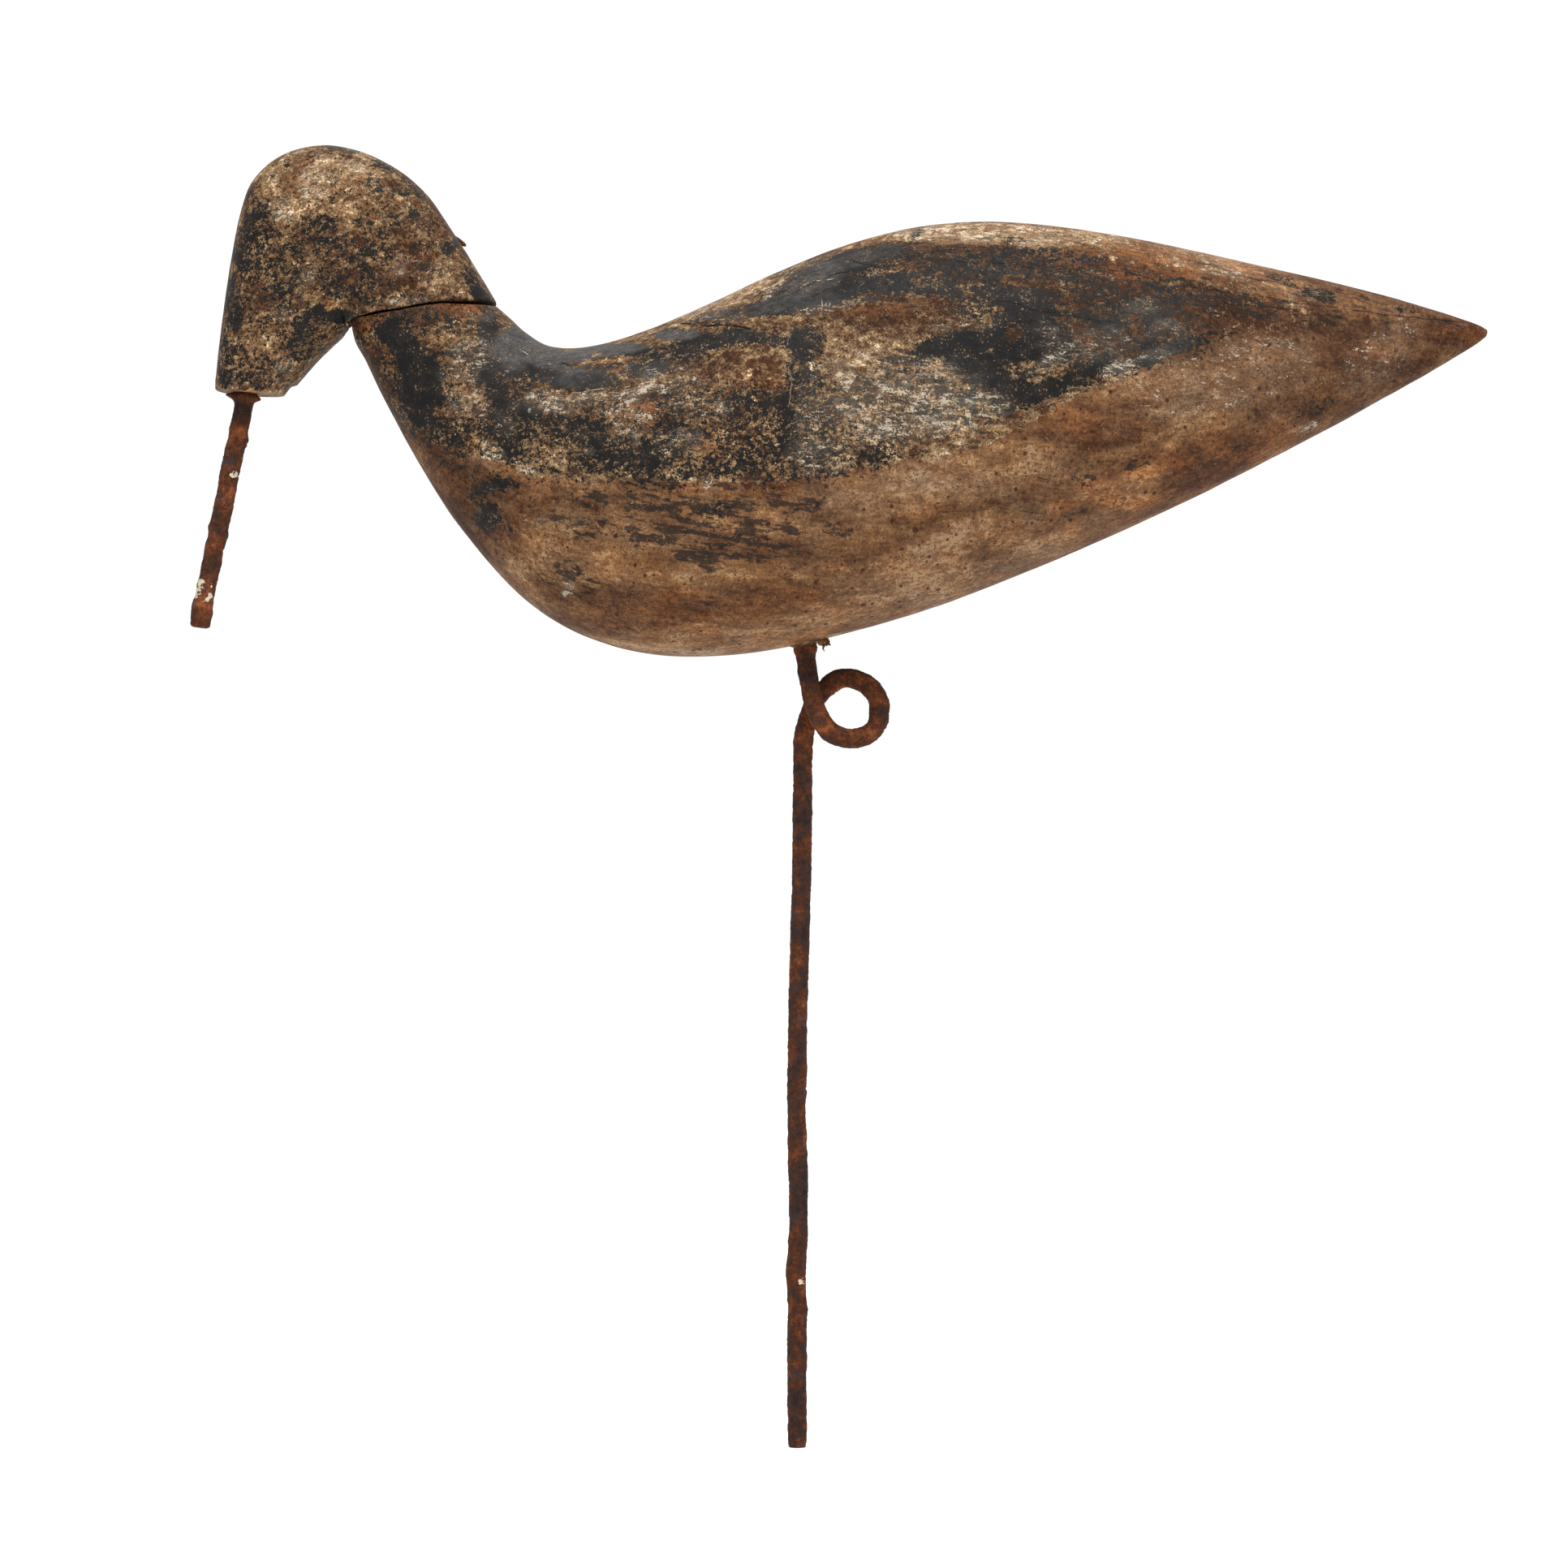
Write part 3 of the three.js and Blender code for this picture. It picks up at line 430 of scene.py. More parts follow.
# Orange bloom and pale flecks on the iron, as rows of marks.
BILL_ORANGE = ((286, 562, 12, 20, 0, 0.5), (300, 490, 26, 6, 0, 0.5))
BILL_FLECKS = ((289, 585, 5, 6, 0, 0.4), (250, 728, 11, 13, 0, 0.42))
NAIL_ORANGE = ((566, 296, 8, 8, 0, 0.2),)
STAKE_ORANGE = (
    (1044, 873, 32, 30, 0, 1.0), (1060, 838, 22, 8, -20, 0.5), (998, 890, 12, 36, -6, 0.5),
    (1046, 900, 46, 12, 0, 0.5), (1076, 872, 10, 30, 0, 0.5), (994, 800, 18, 12, 0, 0.9),
    (985, 915, 8, 20, 0, 0.4),
)
STAKE_FLECKS = ((988, 1580, 5, 6, 0, 0.5),)

# Splinters of the belly beside the stake: root, tip and half-width at the root.
SPLINTERS = (
    ((6.8, -1.6, 264.6), (8.7, -2.2, 259.3), 2.2), ((8.8, -0.4, 265.2), (11.1, -0.8, 261.5), 1.8),
    ((7.8, 1.6, 264.8), (9.8, 2.6, 261.2), 1.6), ((-1.2, -0.8, 263.2), (-1.9, -1.4, 261.2), 1.1),
    ((-1.0, 1.9, 263.2), (-1.7, 2.6, 261.3), 1.0),
)

# The torn rim of the hole round the stake: distances from the stake's middle, and heights above the belly.
RIM_REACH = (6.4, 6.0, 5.4, 4.9, 4.4, 4.0, 3.6, 3.2, 2.9)
RIM_HEIGHT = (1.8, 0.8, 0.35, 0.1, -0.15, -0.3, -0.15, 0.3, 1.1)
BELLY_SLOPE = 0.2


def linear(red, green, blue):
    """Scene-linear colour from display values of 0 to 255."""
    shares = [value / 255 for value in (red, green, blue)]
    return tuple(s / 12.92 if s <= 0.04045 else ((s + 0.055) / 1.055) ** 2.4 for s in shares)


# Settings


def length_setting(name, description, default, low, high):
    """A setting in metres."""
    return FloatProperty(
        name=name, description=description, default=default, min=low, max=high, unit="LENGTH")


def colour_setting(name, description, default):
    """A setting of colour, scene-linear."""
    return FloatVectorProperty(
        name=name, description=description, default=default, subtype="COLOR", min=0, max=1)


class CarvingSettings(bpy.types.PropertyGroup):
    """Sizes of the wooden bird."""

    bird_length: length_setting(
        "Bird length", "Front of the muzzle to the tip of the tail", 0.415, 0.3, 0.6)
    hand_waviness: length_setting(
        "Hand waviness", "Depth of the soft hollows that the knife left", 0.00032, 0.0, 0.002)
    edge_wear: length_setting(
        "Edge wear", "Rounding of the sawn edges at the seam and the muzzle", 0.0009, 0.0, 0.003)
    rings: IntProperty(
        name="Rings", description="Rings along the body", default=372, min=40, max=380)
    sides: IntProperty(
        name="Sides", description="Points round each ring of the body", default=250, min=24, max=250)


class IronSettings(bpy.types.PropertyGroup):
    """Sizes of the iron rods and the nail."""

    stake_diameter: length_setting("Stake diameter", "Across the stake with its rust", 0.0063, 0.003, 0.012)
    eye_diameter: length_setting(
        "Eye diameter", "Across the rod where it is bent into the eye", 0.0065, 0.003, 0.012)
    bill_diameter: length_setting("Bill diameter", "Across the bill with its rust", 0.0062, 0.003, 0.012)
    rust_relief: length_setting("Rust relief", "Height of the rust's scale and pits", 0.0004, 0.0, 0.001)


class PaintSettings(bpy.types.PropertyGroup):
    """Colours of the paint, the wood and the rust."""

    charcoal: colour_setting("Charcoal paint", "Dark paint of the head, back and wings", linear(17, 16, 16))
    tan: colour_setting(
        "Tan paint", "Older paint that shows where the charcoal has flaked off", linear(126, 101, 73))
    # Painted sheen: the blue-grey that stands in for the overhead light gleaming on the charcoal.
    painted_sheen_colour: colour_setting(
        "Sheen", "Blue-grey of the charcoal where it is rubbed smooth", linear(88, 85, 83))
    pale: colour_setting("Pale bloom", "Chalky scuffs on the paint", linear(172, 159, 140))
    wood: colour_setting("Bare wood", "Handled wood of the belly", linear(90, 64, 42))
    stain: colour_setting("Stained wood", "Wood that has darkened with damp and oil", linear(72, 46, 29))
    rust: colour_setting("Rust", "Dark scale on the iron", linear(46, 32, 27))
    fresh_rust: colour_setting("Fresh rust", "Orange bloom on the iron", linear(86, 46, 24))


class StageSettings(bpy.types.PropertyGroup):
    """The floor and the studio light."""

    floor_width: FloatProperty(
        name="Floor width", description="Width of the pale floor", default=12.0, min=1.0, unit="LENGTH")
    floor_colour: colour_setting("Floor colour", "Colour of the pale floor", (0.97, 0.97, 0.97))
    room_light: FloatProperty(
        name="Room light", description="Brightness of the white room", default=1.04, min=0.0)
    key_power: FloatProperty(
        name="Overhead light", description="Power of the large soft light overhead",
        default=24.0, min=0.0, unit="POWER")


# Shapes


def smooth_line(points, shares):
    """Points at shares of the way along a Catmull-Rom line: cubics whose slope at each point is half the
    step between its neighbours."""
    points = np.asarray(points, float)
    padded = np.vstack([2 * points[0] - points[1], points, 2 * points[-1] - points[-2]])
    place = np.clip(shares, 0, 1) * (len(points) - 1)
    first = np.minimum(place.astype(int), len(points) - 2)
    t = (place - first)[:, None]
    before, start, end, after = (padded[first + step] for step in range(4))
    leaving, arriving = (end - before) / 2, (after - start) / 2
    return (start + t * leaving + t**2 * (3 * (end - start) - 2 * leaving - arriving)
            + t**3 * (2 * (start - end) + leaving + arriving))


def travelled(steps):
    """The length travelled to each point of a line, from the lengths of its steps."""
    return np.concatenate([np.zeros_like(steps[:1]), np.cumsum(steps, axis=0)])


def even_shares(points, count, ends=()):
    """Shares that step evenly by length along a smooth line, with closer ones at the lengths in ends."""
    fine = np.linspace(0, 1, 4001)
    length = travelled(np.linalg.norm(np.diff(smooth_line(points, fine), axis=0), axis=1))
    wanted = np.linspace(0, length[-1], count)
    return np.interp(np.unique(np.concatenate([wanted, *ends])), length, fine)


def scatter(cells, seed):
    """A repeatable number from 0 to 1 for each cell of a lattice: sine hash of its whole coordinates."""
    mixed = cells @ np.array([127.1, 311.7, 74.7]) + seed * 53.3
    return np.modf(np.abs(np.sin(mixed) * 43758.5453))[0]


def cloud(points, size, seed, octaves=3):
    """Smooth noise from -1 to 1: lattice values of cells of that size, blended with 3t^2-2t^3, and octaves
    of it at half the size and half the height."""
    total, height, reach = 0.0, 1.0, 0.0
    for octave in range(octaves):
        scaled = points / size * 2**octave
        cell = np.floor(scaled)
        t = scaled - cell
        t = t * t * (3 - 2 * t)
        value = 0.0
        for corner in np.ndindex(2, 2, 2):
            weight = np.prod(np.where(corner, t, 1 - t), axis=-1)
            value = value + weight * scatter(cell + corner, seed + octave)
        total = total + height * (value * 2 - 1)
        reach += height
        height *= 0.5
    return total / reach


def soft_step(low, high, value):
    """0 below low, 1 above high, 3t^2-2t^3 between."""
    t = np.clip((value - low) / (high - low), 0, 1)
    return t * t * (3 - 2 * t)


def ring_angles(sides, height_to_width):
    """Angles that step evenly by length round an oval of that height to width."""
    fine = np.linspace(0, 2 * np.pi, 2881)
    length = travelled(np.hypot(np.diff(height_to_width * np.cos(fine)), np.diff(np.sin(fine))))
    return np.interp(np.linspace(0, length[-1], sides, endpoint=False), length, fine)


def rib_surface(ribs, bird_length, shares, angles, squareness):
    """The carving's skin on a grid along and round: middle + arm * f(cos a) in the middle plane and
    half-width * f(sin a) across, with f(v) = sign(v) |v|^(2 / squareness)."""
    table = np.asarray(ribs, float).copy()
    table[:, :4] *= bird_length / 1000
    rows = smooth_line(table, shares)
    fuller = lambda value: np.sign(value) * np.abs(value) ** (2 / squareness)
    upper, lower = rows[:, None, 0:2], rows[:, None, 2:4]
    plane = (upper + lower) / 2 + (upper - lower) / 2 * fuller(np.cos(angles))[None, :, None]
    across = rows[:, None, 4] * fuller(np.sin(angles))[None, :]
    return np.stack([plane[..., 0], across, plane[..., 1]], axis=-1) + BELLY_HOLE


def grid_normals(grid):
    """Outward unit normals of a grid that closes round itself: the cross product of its two steps."""
    along = np.gradient(grid, axis=0)
    around = np.roll(grid, -1, axis=1) - np.roll(grid, 1, axis=1)
    normal = np.cross(around, along)
    normal /= np.linalg.norm(normal, axis=-1, keepdims=True) + 1e-12
    middle = grid.mean(axis=1, keepdims=True)
    return normal * (1 if np.sum(normal * (grid - middle)) > 0 else -1)


def capped(grid, first_steps, last_steps, last_height=0.0):
    """The grid with a lid at each end: its end ring drawn in to its middle by cos(t), and on the last end
    raised by height * sin(t) into a dome."""
    def lid(ring, steps, rise):
        middle = ring.mean(axis=0)
        turn = np.linspace(0, np.pi / 2, steps + 1)[1:-1, None, None]
        return middle + (ring - middle) * np.cos(turn) + rise * np.sin(turn)
    onward = grid[-1].mean(axis=0) - grid[-3].mean(axis=0)
    rise = onward / np.linalg.norm(onward) * last_height
    return np.concatenate([lid(grid[0], first_steps, 0)[::-1], grid, lid(grid[-1], last_steps, rise)])


def closed_mesh(name, grid):
    """A mesh in metres over a grid that closes round itself, with a fan to a pole at each end."""
    rings, sides, _ = grid.shape
    points = np.vstack([grid.reshape(-1, 3), grid[0].mean(axis=0), grid[-1].mean(axis=0)])
    index = np.arange(rings * sides).reshape(rings, sides)
    after = np.roll(index, -1, axis=1)
    quads = np.stack([index[:-1], after[:-1], after[1:], index[1:]], axis=-1).reshape(-1, 4)
    poles = np.full(sides, rings * sides)
    first = np.stack([poles, after[0], index[0]], axis=-1)
    last = np.stack([poles + 1, index[-1], after[-1]], axis=-1)
    corners = points[quads]
    volume = np.sum(np.cross(corners[:, 0], corners[:, 1]) * corners[:, 2]
                    + np.cross(corners[:, 0], corners[:, 2]) * corners[:, 3])
    if volume < 0:
        quads, first, last = quads[:, ::-1], first[:, ::-1], last[:, ::-1]
    mesh = bpy.data.meshes.new(name)
    mesh.from_pydata((points * MM).tolist(), [], quads.tolist() + first.tolist() + last.tolist())
    mesh.validate()
    mesh.shade_smooth()
    return mesh


def side_view(points):
    """Where points show in the side view, in its pixels across and down from the top left corner."""
    scale = VIEW_DISTANCE / (VIEW_DISTANCE + points[..., 1]) / PIXEL_MM
    across = (points[..., 0] - VIEW_CENTRE[0]) * scale + VIEW_PIXELS / 2
    down = VIEW_PIXELS / 2 - (points[..., 2] - VIEW_CENTRE[1]) * scale
    return across, down


def laid_marks(across, down, marks):
    """The paint that a table of marks lays down, from 0 to 1: each oval covers or wears what is there by
    its strength, full inside three quarters of its size and fading to a little outside it."""
    laid = np.zeros_like(across)
    for centre_x, centre_y, half_x, half_y, tilt, strength in marks:
        turn = math.radians(tilt)
        dx, dy = across - centre_x, centre_y - down
        u = (dx * math.cos(turn) + dy * math.sin(turn)) / half_x
        v = (dy * math.cos(turn) - dx * math.sin(turn)) / half_y
        reach = (np.abs(u) ** MARK_SQUARENESS + np.abs(v) ** MARK_SQUARENESS) ** (1 / MARK_SQUARENESS)
        share = soft_step(1.25, 0.75, reach) * abs(strength)
        laid = laid + share * (1 - laid) if strength > 0 else laid * (1 - share)
    return laid


def painted_both_sides(points, near_marks, far_marks, seed):
    """Marks on the near side and their broad stand-ins on the far side, faded into each other over the
    middle, with ragged edges."""
    across, down = side_view(points)
    ragged = 7 * cloud(points, 7, seed, 4)
    ragged_down = 6 * cloud(points, 7, seed + 20, 4)
    near = laid_marks(across + ragged, down + ragged_down, near_marks)
    near = near + PATCHINESS * near * (1 - near) * 4 * cloud(points * (0.6, 1, 1), 4, seed + 60, 3)
    far = laid_marks(across + 2 * ragged, down + 2 * ragged_down, far_marks)
    other_side = soft_step(-6, 6, points[..., 1] + 5 * cloud(points, 20, seed + 40, 2))
    return near * (1 - other_side) + far * other_side


def set_layer(mesh, name, values):
    """Keeps one number for each vertex under a name that the material reads."""
    layer = mesh.attributes.new(name, "FLOAT", "POINT")
    layer.data.foreach_set("value", np.asarray(values, np.float32))


def vertices_of(mesh):
    """The mesh's vertices in millimetres."""
    flat = np.empty(len(mesh.vertices) * 3, np.float32)
    mesh.vertices.foreach_get("co", flat)
    return flat.reshape(-1, 3).astype(float) / MM


def nearest_line(across, down, lines):
    """For the nearest of some thin lines: the distance from its middle in its half-widths, with a sign for
    the side, and its strength, which fades out past its ends and 2 mm beside it."""
    nearest = np.full_like(across, 1e3)
    side = np.full_like(across, 1e3)
    strength = np.zeros_like(across)
    for half_width, line_strength, *points in lines:
        points = np.asarray(points, float)
        for number, (start, end) in enumerate(zip(points[:-1], points[1:])):
            step = end - start
            length = np.hypot(*step)
            dx, dy = across - start[0], down - start[1]
            along = (dx * step[0] + dy * step[1]) / length
            beside = (dx * step[1] - dy * step[0]) / length
            past = np.maximum(np.maximum(-along, along - length), 0)
            gap = np.hypot(beside, past) * PIXEL_MM
            closer = gap < nearest
            nearest = np.where(closer, gap, nearest)
            side = np.where(closer, beside * PIXEL_MM / half_width, side)
            first, last = number == 0, number == len(points) - 2
            taper = soft_step(-3 if first else -99, 8 if first else -98, along)
            taper = taper * soft_step(length + (3 if last else 99), length - (8 if last else -98), along)
            strength = np.where(closer, line_strength * taper, strength)
    return np.clip(side, -9, 9), strength * soft_step(2.2, 1.6, nearest)


def lay_paint(mesh):
    """Gives a wooden piece all its layers of paint, wear, painted sheen and painted light, and its thin
    lines.
    """
    points = vertices_of(mesh)
    for seed, (name, near_marks, far_marks) in enumerate(PAINT_LAYERS):
        layer = painted_both_sides(points, near_marks, far_marks, 3 + 2 * seed)
        set_layer(mesh, name, layer)
    across, down = side_view(points)
    edge_across, edge_down = np.array(PAINT_EDGE, float).T
    set_layer(mesh, "above_edge", (np.interp(across, edge_across, edge_down) - down) * PIXEL_MM)
    near_side = points[:, 1] < 0
    for name, lines in (("dark", DARK_LINES), ("pale", PALE_LINES)):
        wander = 2.6 * cloud(points, 5, 91, 4)
        side, strength = nearest_line(across + wander, down + wander, lines)
        set_layer(mesh, name + "_line_side", side)
        set_layer(mesh, name + "_line", strength * near_side)


def inside_cad_box(grid):
    """The grid held inside the solids' box."""
    low, high = (np.array(corner) / MM for corner in CAD_BOX)
    return np.clip(grid, low, high)


def show(mesh, node, material):
    """Puts a finished mesh in the scene as the piece that stands for a node of the solids."""
    mesh.materials.append(material)
    piece = bpy.data.objects.new(mesh.name, mesh)
    bpy.context.scene.collection.objects.link(piece)
    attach(piece, "root")
    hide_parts(node)


def seam_rise(grid):
    """Lift of the wood near the saw cut, which isn't flat: the lift for the place along it, from none in
    the middle plane to all of it 8 mm beside it, times exp(-(distance from the cut / reach)^2)."""
    distance = (grid - SEAM_POINT) @ SEAM_SQUARE
    places, lifts = np.array(SEAM_LIFT).T
    lift = np.interp(grid[..., 0], places, lifts) * soft_step(0, 8, np.abs(grid[..., 1]))
    return lift * np.exp(-(distance / SEAM_REACH) ** 2)


def knife_hollows(grid, depth):
    """Displacement of the carving: broad hollows with finer ones on them, and half of their depth in."""
    broad = cloud(grid * (0.5, 1, 1), 24, 31, 2)
    fine = cloud(grid * (0.6, 1, 1), 5, 37, 3)
    return depth * (broad + 0.35 * fine - 0.5)


def splinter_grid(root, tip, half_width, number):
    """A flat-sided spike whose half-width falls from root to tip as 1 - t, with its middle bent by a third
    of its width, and its edges frayed by noise."""
    along, around = np.linspace(0, 1, 26), np.linspace(0, 2 * np.pi, 20, endpoint=False)
    root, tip = np.array(root), np.array(tip)
    travel = (tip - root) / np.linalg.norm(tip - root)
    wide = np.cross(travel, (0.3 * math.sin(5 * number), 1.0, 0.2))
    wide /= np.linalg.norm(wide)
    thin = np.cross(travel, wide)
    bend = half_width * 0.3 * np.sin(np.pi * along) * (-1) ** number
    middle = root + (tip - root) * along[:, None] + wide * bend[:, None]
    radius = half_width * (1 - along)
    grid = middle[:, None] + radius[:, None, None] * (
        wide * np.cos(around)[None, :, None] + 0.45 * thin * np.sin(around)[None, :, None])
    fray = half_width * (0.45 * cloud(grid, 0.9, 101, 2) + 0.2 * cloud(grid, 0.35, 103, 2))
    return grid + (fray * soft_step(1.0, 0.85, along)[:, None])[..., None] * wide


def torn_rim():
    """The raised and torn edge of the hole in the belly: a ring on the rim's profile, set on the belly's
    slope, whose lower edge is frayed by noise."""
    around = np.linspace(0, 2 * np.pi, 120, endpoint=False)
    share = np.linspace(0, 1, 33)
    steps = np.linspace(0, 1, len(RIM_REACH))
    reach = np.interp(share, steps, RIM_REACH)[:, None]
    height = np.interp(share, steps, RIM_HEIGHT)[:, None]
    x, y = reach * np.cos(around), reach * np.sin(around)
    grid = np.stack([x, y, height + BELLY_SLOPE * x], axis=-1) + BELLY_HOLE
    ragged = cloud(grid, 2.2, 107, 3) + 0.4 * cloud(grid, 0.8, 109, 2)
    grid[..., 2] += np.minimum(ragged, 0.8) * 0.8 * np.exp(-((reach - 4.1) / 0.9) ** 2)
    return grid


def joined(meshes, name):
    """One mesh of several."""
    points, faces, start = [], [], 0
    for mesh in meshes:
        corners = np.empty(len(mesh.vertices) * 3, np.float32)
        mesh.vertices.foreach_get("co", corners)
        points.append(corners.reshape(-1, 3))
        faces += [[start + vertex for vertex in polygon.vertices] for polygon in mesh.polygons]
        start += len(mesh.vertices)
        bpy.data.meshes.remove(mesh)
    whole = bpy.data.meshes.new(name)
    whole.from_pydata(np.vstack(points).tolist(), [], faces)
    whole.validate()
    whole.shade_smooth()
    return whole


def carve(ribs, bird_length, rings, angles, squareness, settings, first_wear, last_wear):
    """The skin between the ribs, with its knife work, its worn end edges and the lift at the saw cut. Wear
    sinks the skin by wear * (1 - sqrt(1 - (1 - distance from the edge / wear)^2)), a quarter round."""
    upper, lower = np.hsplit(np.asarray(ribs)[:, :4] * bird_length / 1000, 2)
    shares = even_shares(np.hstack([(upper + lower) / 2, upper]), rings, [EDGE_RINGS])
    grid = rib_surface(ribs, bird_length, shares, angles, squareness)
    normals = grid_normals(grid)
    grid = grid + normals * knife_hollows(grid, settings.hand_waviness / MM)[..., None]
    for wear, ring_order in ((first_wear, slice(None)), (last_wear, slice(None, None, -1))):
        if wear <= 0:
            continue
        rows = grid[ring_order]
        from_edge = travelled(np.linalg.norm(np.diff(rows, axis=0), axis=-1))
        sunk = wear * (1 - np.sqrt(1 - (1 - np.clip(from_edge / wear, 0, 1)) ** 2))
        rows = rows - normals[ring_order] * sunk[..., None]
        grid = rows[ring_order]
    grid[..., 2] += seam_rise(grid)
    return grid


# Materials


def shade(colour, factor):
    """A colour made darker or lighter, kept within 0 to 1."""
    return tuple(min(1.0, value * factor) for value in colour)


class Board:
    """A material's node tree, with short calls for the nodes that the finishes share."""

    def __init__(self, name):
        self.material = bpy.data.materials.new(name)
        self.material.use_nodes = True
        self.nodes = self.material.node_tree.nodes
        self.links = self.material.node_tree.links
        self.nodes.clear()
        self.place = self.node("ShaderNodeTexCoord").outputs["Object"]

    def node(self, kind, sockets=(), **settings):
        """Adds a node, sets what it is, and sets or links its sockets by name or number. Colours are given
        without their alpha."""
        made = self.nodes.new(kind)
        for key, value in settings.items():
            setattr(made, key, value)
        for key, value in dict(sockets).items():
            socket = made.inputs[key]
            if isinstance(value, bpy.types.NodeSocket):
                self.links.new(value, socket)
            else:
                socket.default_value = (*value, 1.0) if socket.type == "RGBA" else value
        return made

    def stretched(self, along, tilt=0.0):
        """The place on the piece, for a pattern that is drawn out along the grain: squeezed along it, after
        a turn by the grain's tilt in degrees."""
        sockets = {"Vector": self.place, "Rotation": (0, -math.radians(tilt), 0),
                   "Scale": (1 / along, 1, 1)}
        return self.node("ShaderNodeMapping", sockets, vector_type="TEXTURE").outputs[0]

    def noise(self, scale, detail=4.0, roughness=0.55, place=None, distortion=0.0):
        """Noise from 0 to 1 with scale cells to the metre."""
        sockets = {"Vector": place or self.place, "Scale": scale, "Detail": detail,
                   "Roughness": roughness, "Distortion": distortion}
        return self.node("ShaderNodeTexNoise", sockets).outputs[0]

    def cells(self, scale):
        """For the nearest of scattered points: a random number of its own, and the distance to it."""
        made = self.node("ShaderNodeTexVoronoi", {"Vector": self.place, "Scale": scale})
        own = self.node("ShaderNodeSeparateColor", {0: made.outputs["Color"]}).outputs[0]
        return own, made.outputs["Distance"]

    def layer(self, name):
        """A number that the mesh keeps for each vertex."""
        return self.node("ShaderNodeAttribute", attribute_name=name).outputs["Fac"]

    def maths(self, operation, first, second=0.0, third=0.0, clamp=False):
        sockets = {0: first, 1: second, 2: third}
        return self.node("ShaderNodeMath", sockets, operation=operation, use_clamp=clamp).outputs[0]

    def times(self, first, second, rest=None):
        """The product, and the rest added to it if one is given."""
        if rest is None:
            return self.maths("MULTIPLY", first, second)
        return self.maths("MULTIPLY_ADD", first, second, rest)

    def minus(self, first, second):
        return self.maths("SUBTRACT", first, second)

    def larger(self, first, second):
        return self.maths("MAXIMUM", first, second)

    def remap(self, value, low, high, to_low=0.0, to_high=1.0, smooth=True):
        """The value from low to high turned into to_low to to_high, and held there beyond."""
        sockets = {"Value": value, "From Min": low, "From Max": high, "To Min": to_low, "To Max": to_high}
        kind = "SMOOTHSTEP" if smooth else "LINEAR"
        return self.node("ShaderNodeMapRange", sockets, interpolation_type=kind).outputs[0]

    def mix(self, share, below, over, blend_type="MIX"):
        """A share of one colour laid over another."""
        sockets = {0: share, 6: below, 7: over}
        return self.node("ShaderNodeMix", sockets, data_type="RGBA", blend_type=blend_type).outputs[2]

    def tint(self, share, colour, factors):
        """A share of the colour multiplied by factors for its red, green and blue."""
        return self.mix(share, colour, factors, "MULTIPLY")

    def blend(self, *parts):
        """The sum of values times their weights."""
        total = 0.0
        for value, weight in parts:
            total = self.times(value, weight, total)
        return total

    def ramp(self, value, stops):
        """Colours by a value from 0 to 1."""
        made = self.node("ShaderNodeValToRGB", {"Fac": value})
        elements = made.color_ramp.elements
        while len(elements) < len(stops):
            elements.new(0.5)
        for element, (place, colour) in zip(elements, stops):
            element.position, element.color = place, (*colour, 1.0)
        return made.outputs[0]

    def covered(self, coverage, pattern, below=0.05, above=0.05):
        """1 where an even pattern from 0 to 1 lies under the coverage, so that the coverage is the share of
        the surface that is covered. The edge fades from below to above."""
        return self.remap(self.minus(coverage, pattern), -below, above)

    def finish(self, colour, roughness, height, relief, specular):
        """Closes the tree with one surface shader over a bumped normal."""
        bump = self.node("ShaderNodeBump", {"Height": height, "Strength": 1.0, "Distance": relief})
        surface = self.node("ShaderNodeBsdfPrincipled", {
            "Base Color": colour, "Roughness": roughness, "Normal": bump.outputs[0],
            "Specular IOR Level": specular})
        self.node("ShaderNodeOutputMaterial", {"Surface": surface.outputs[0]})
        return self.material


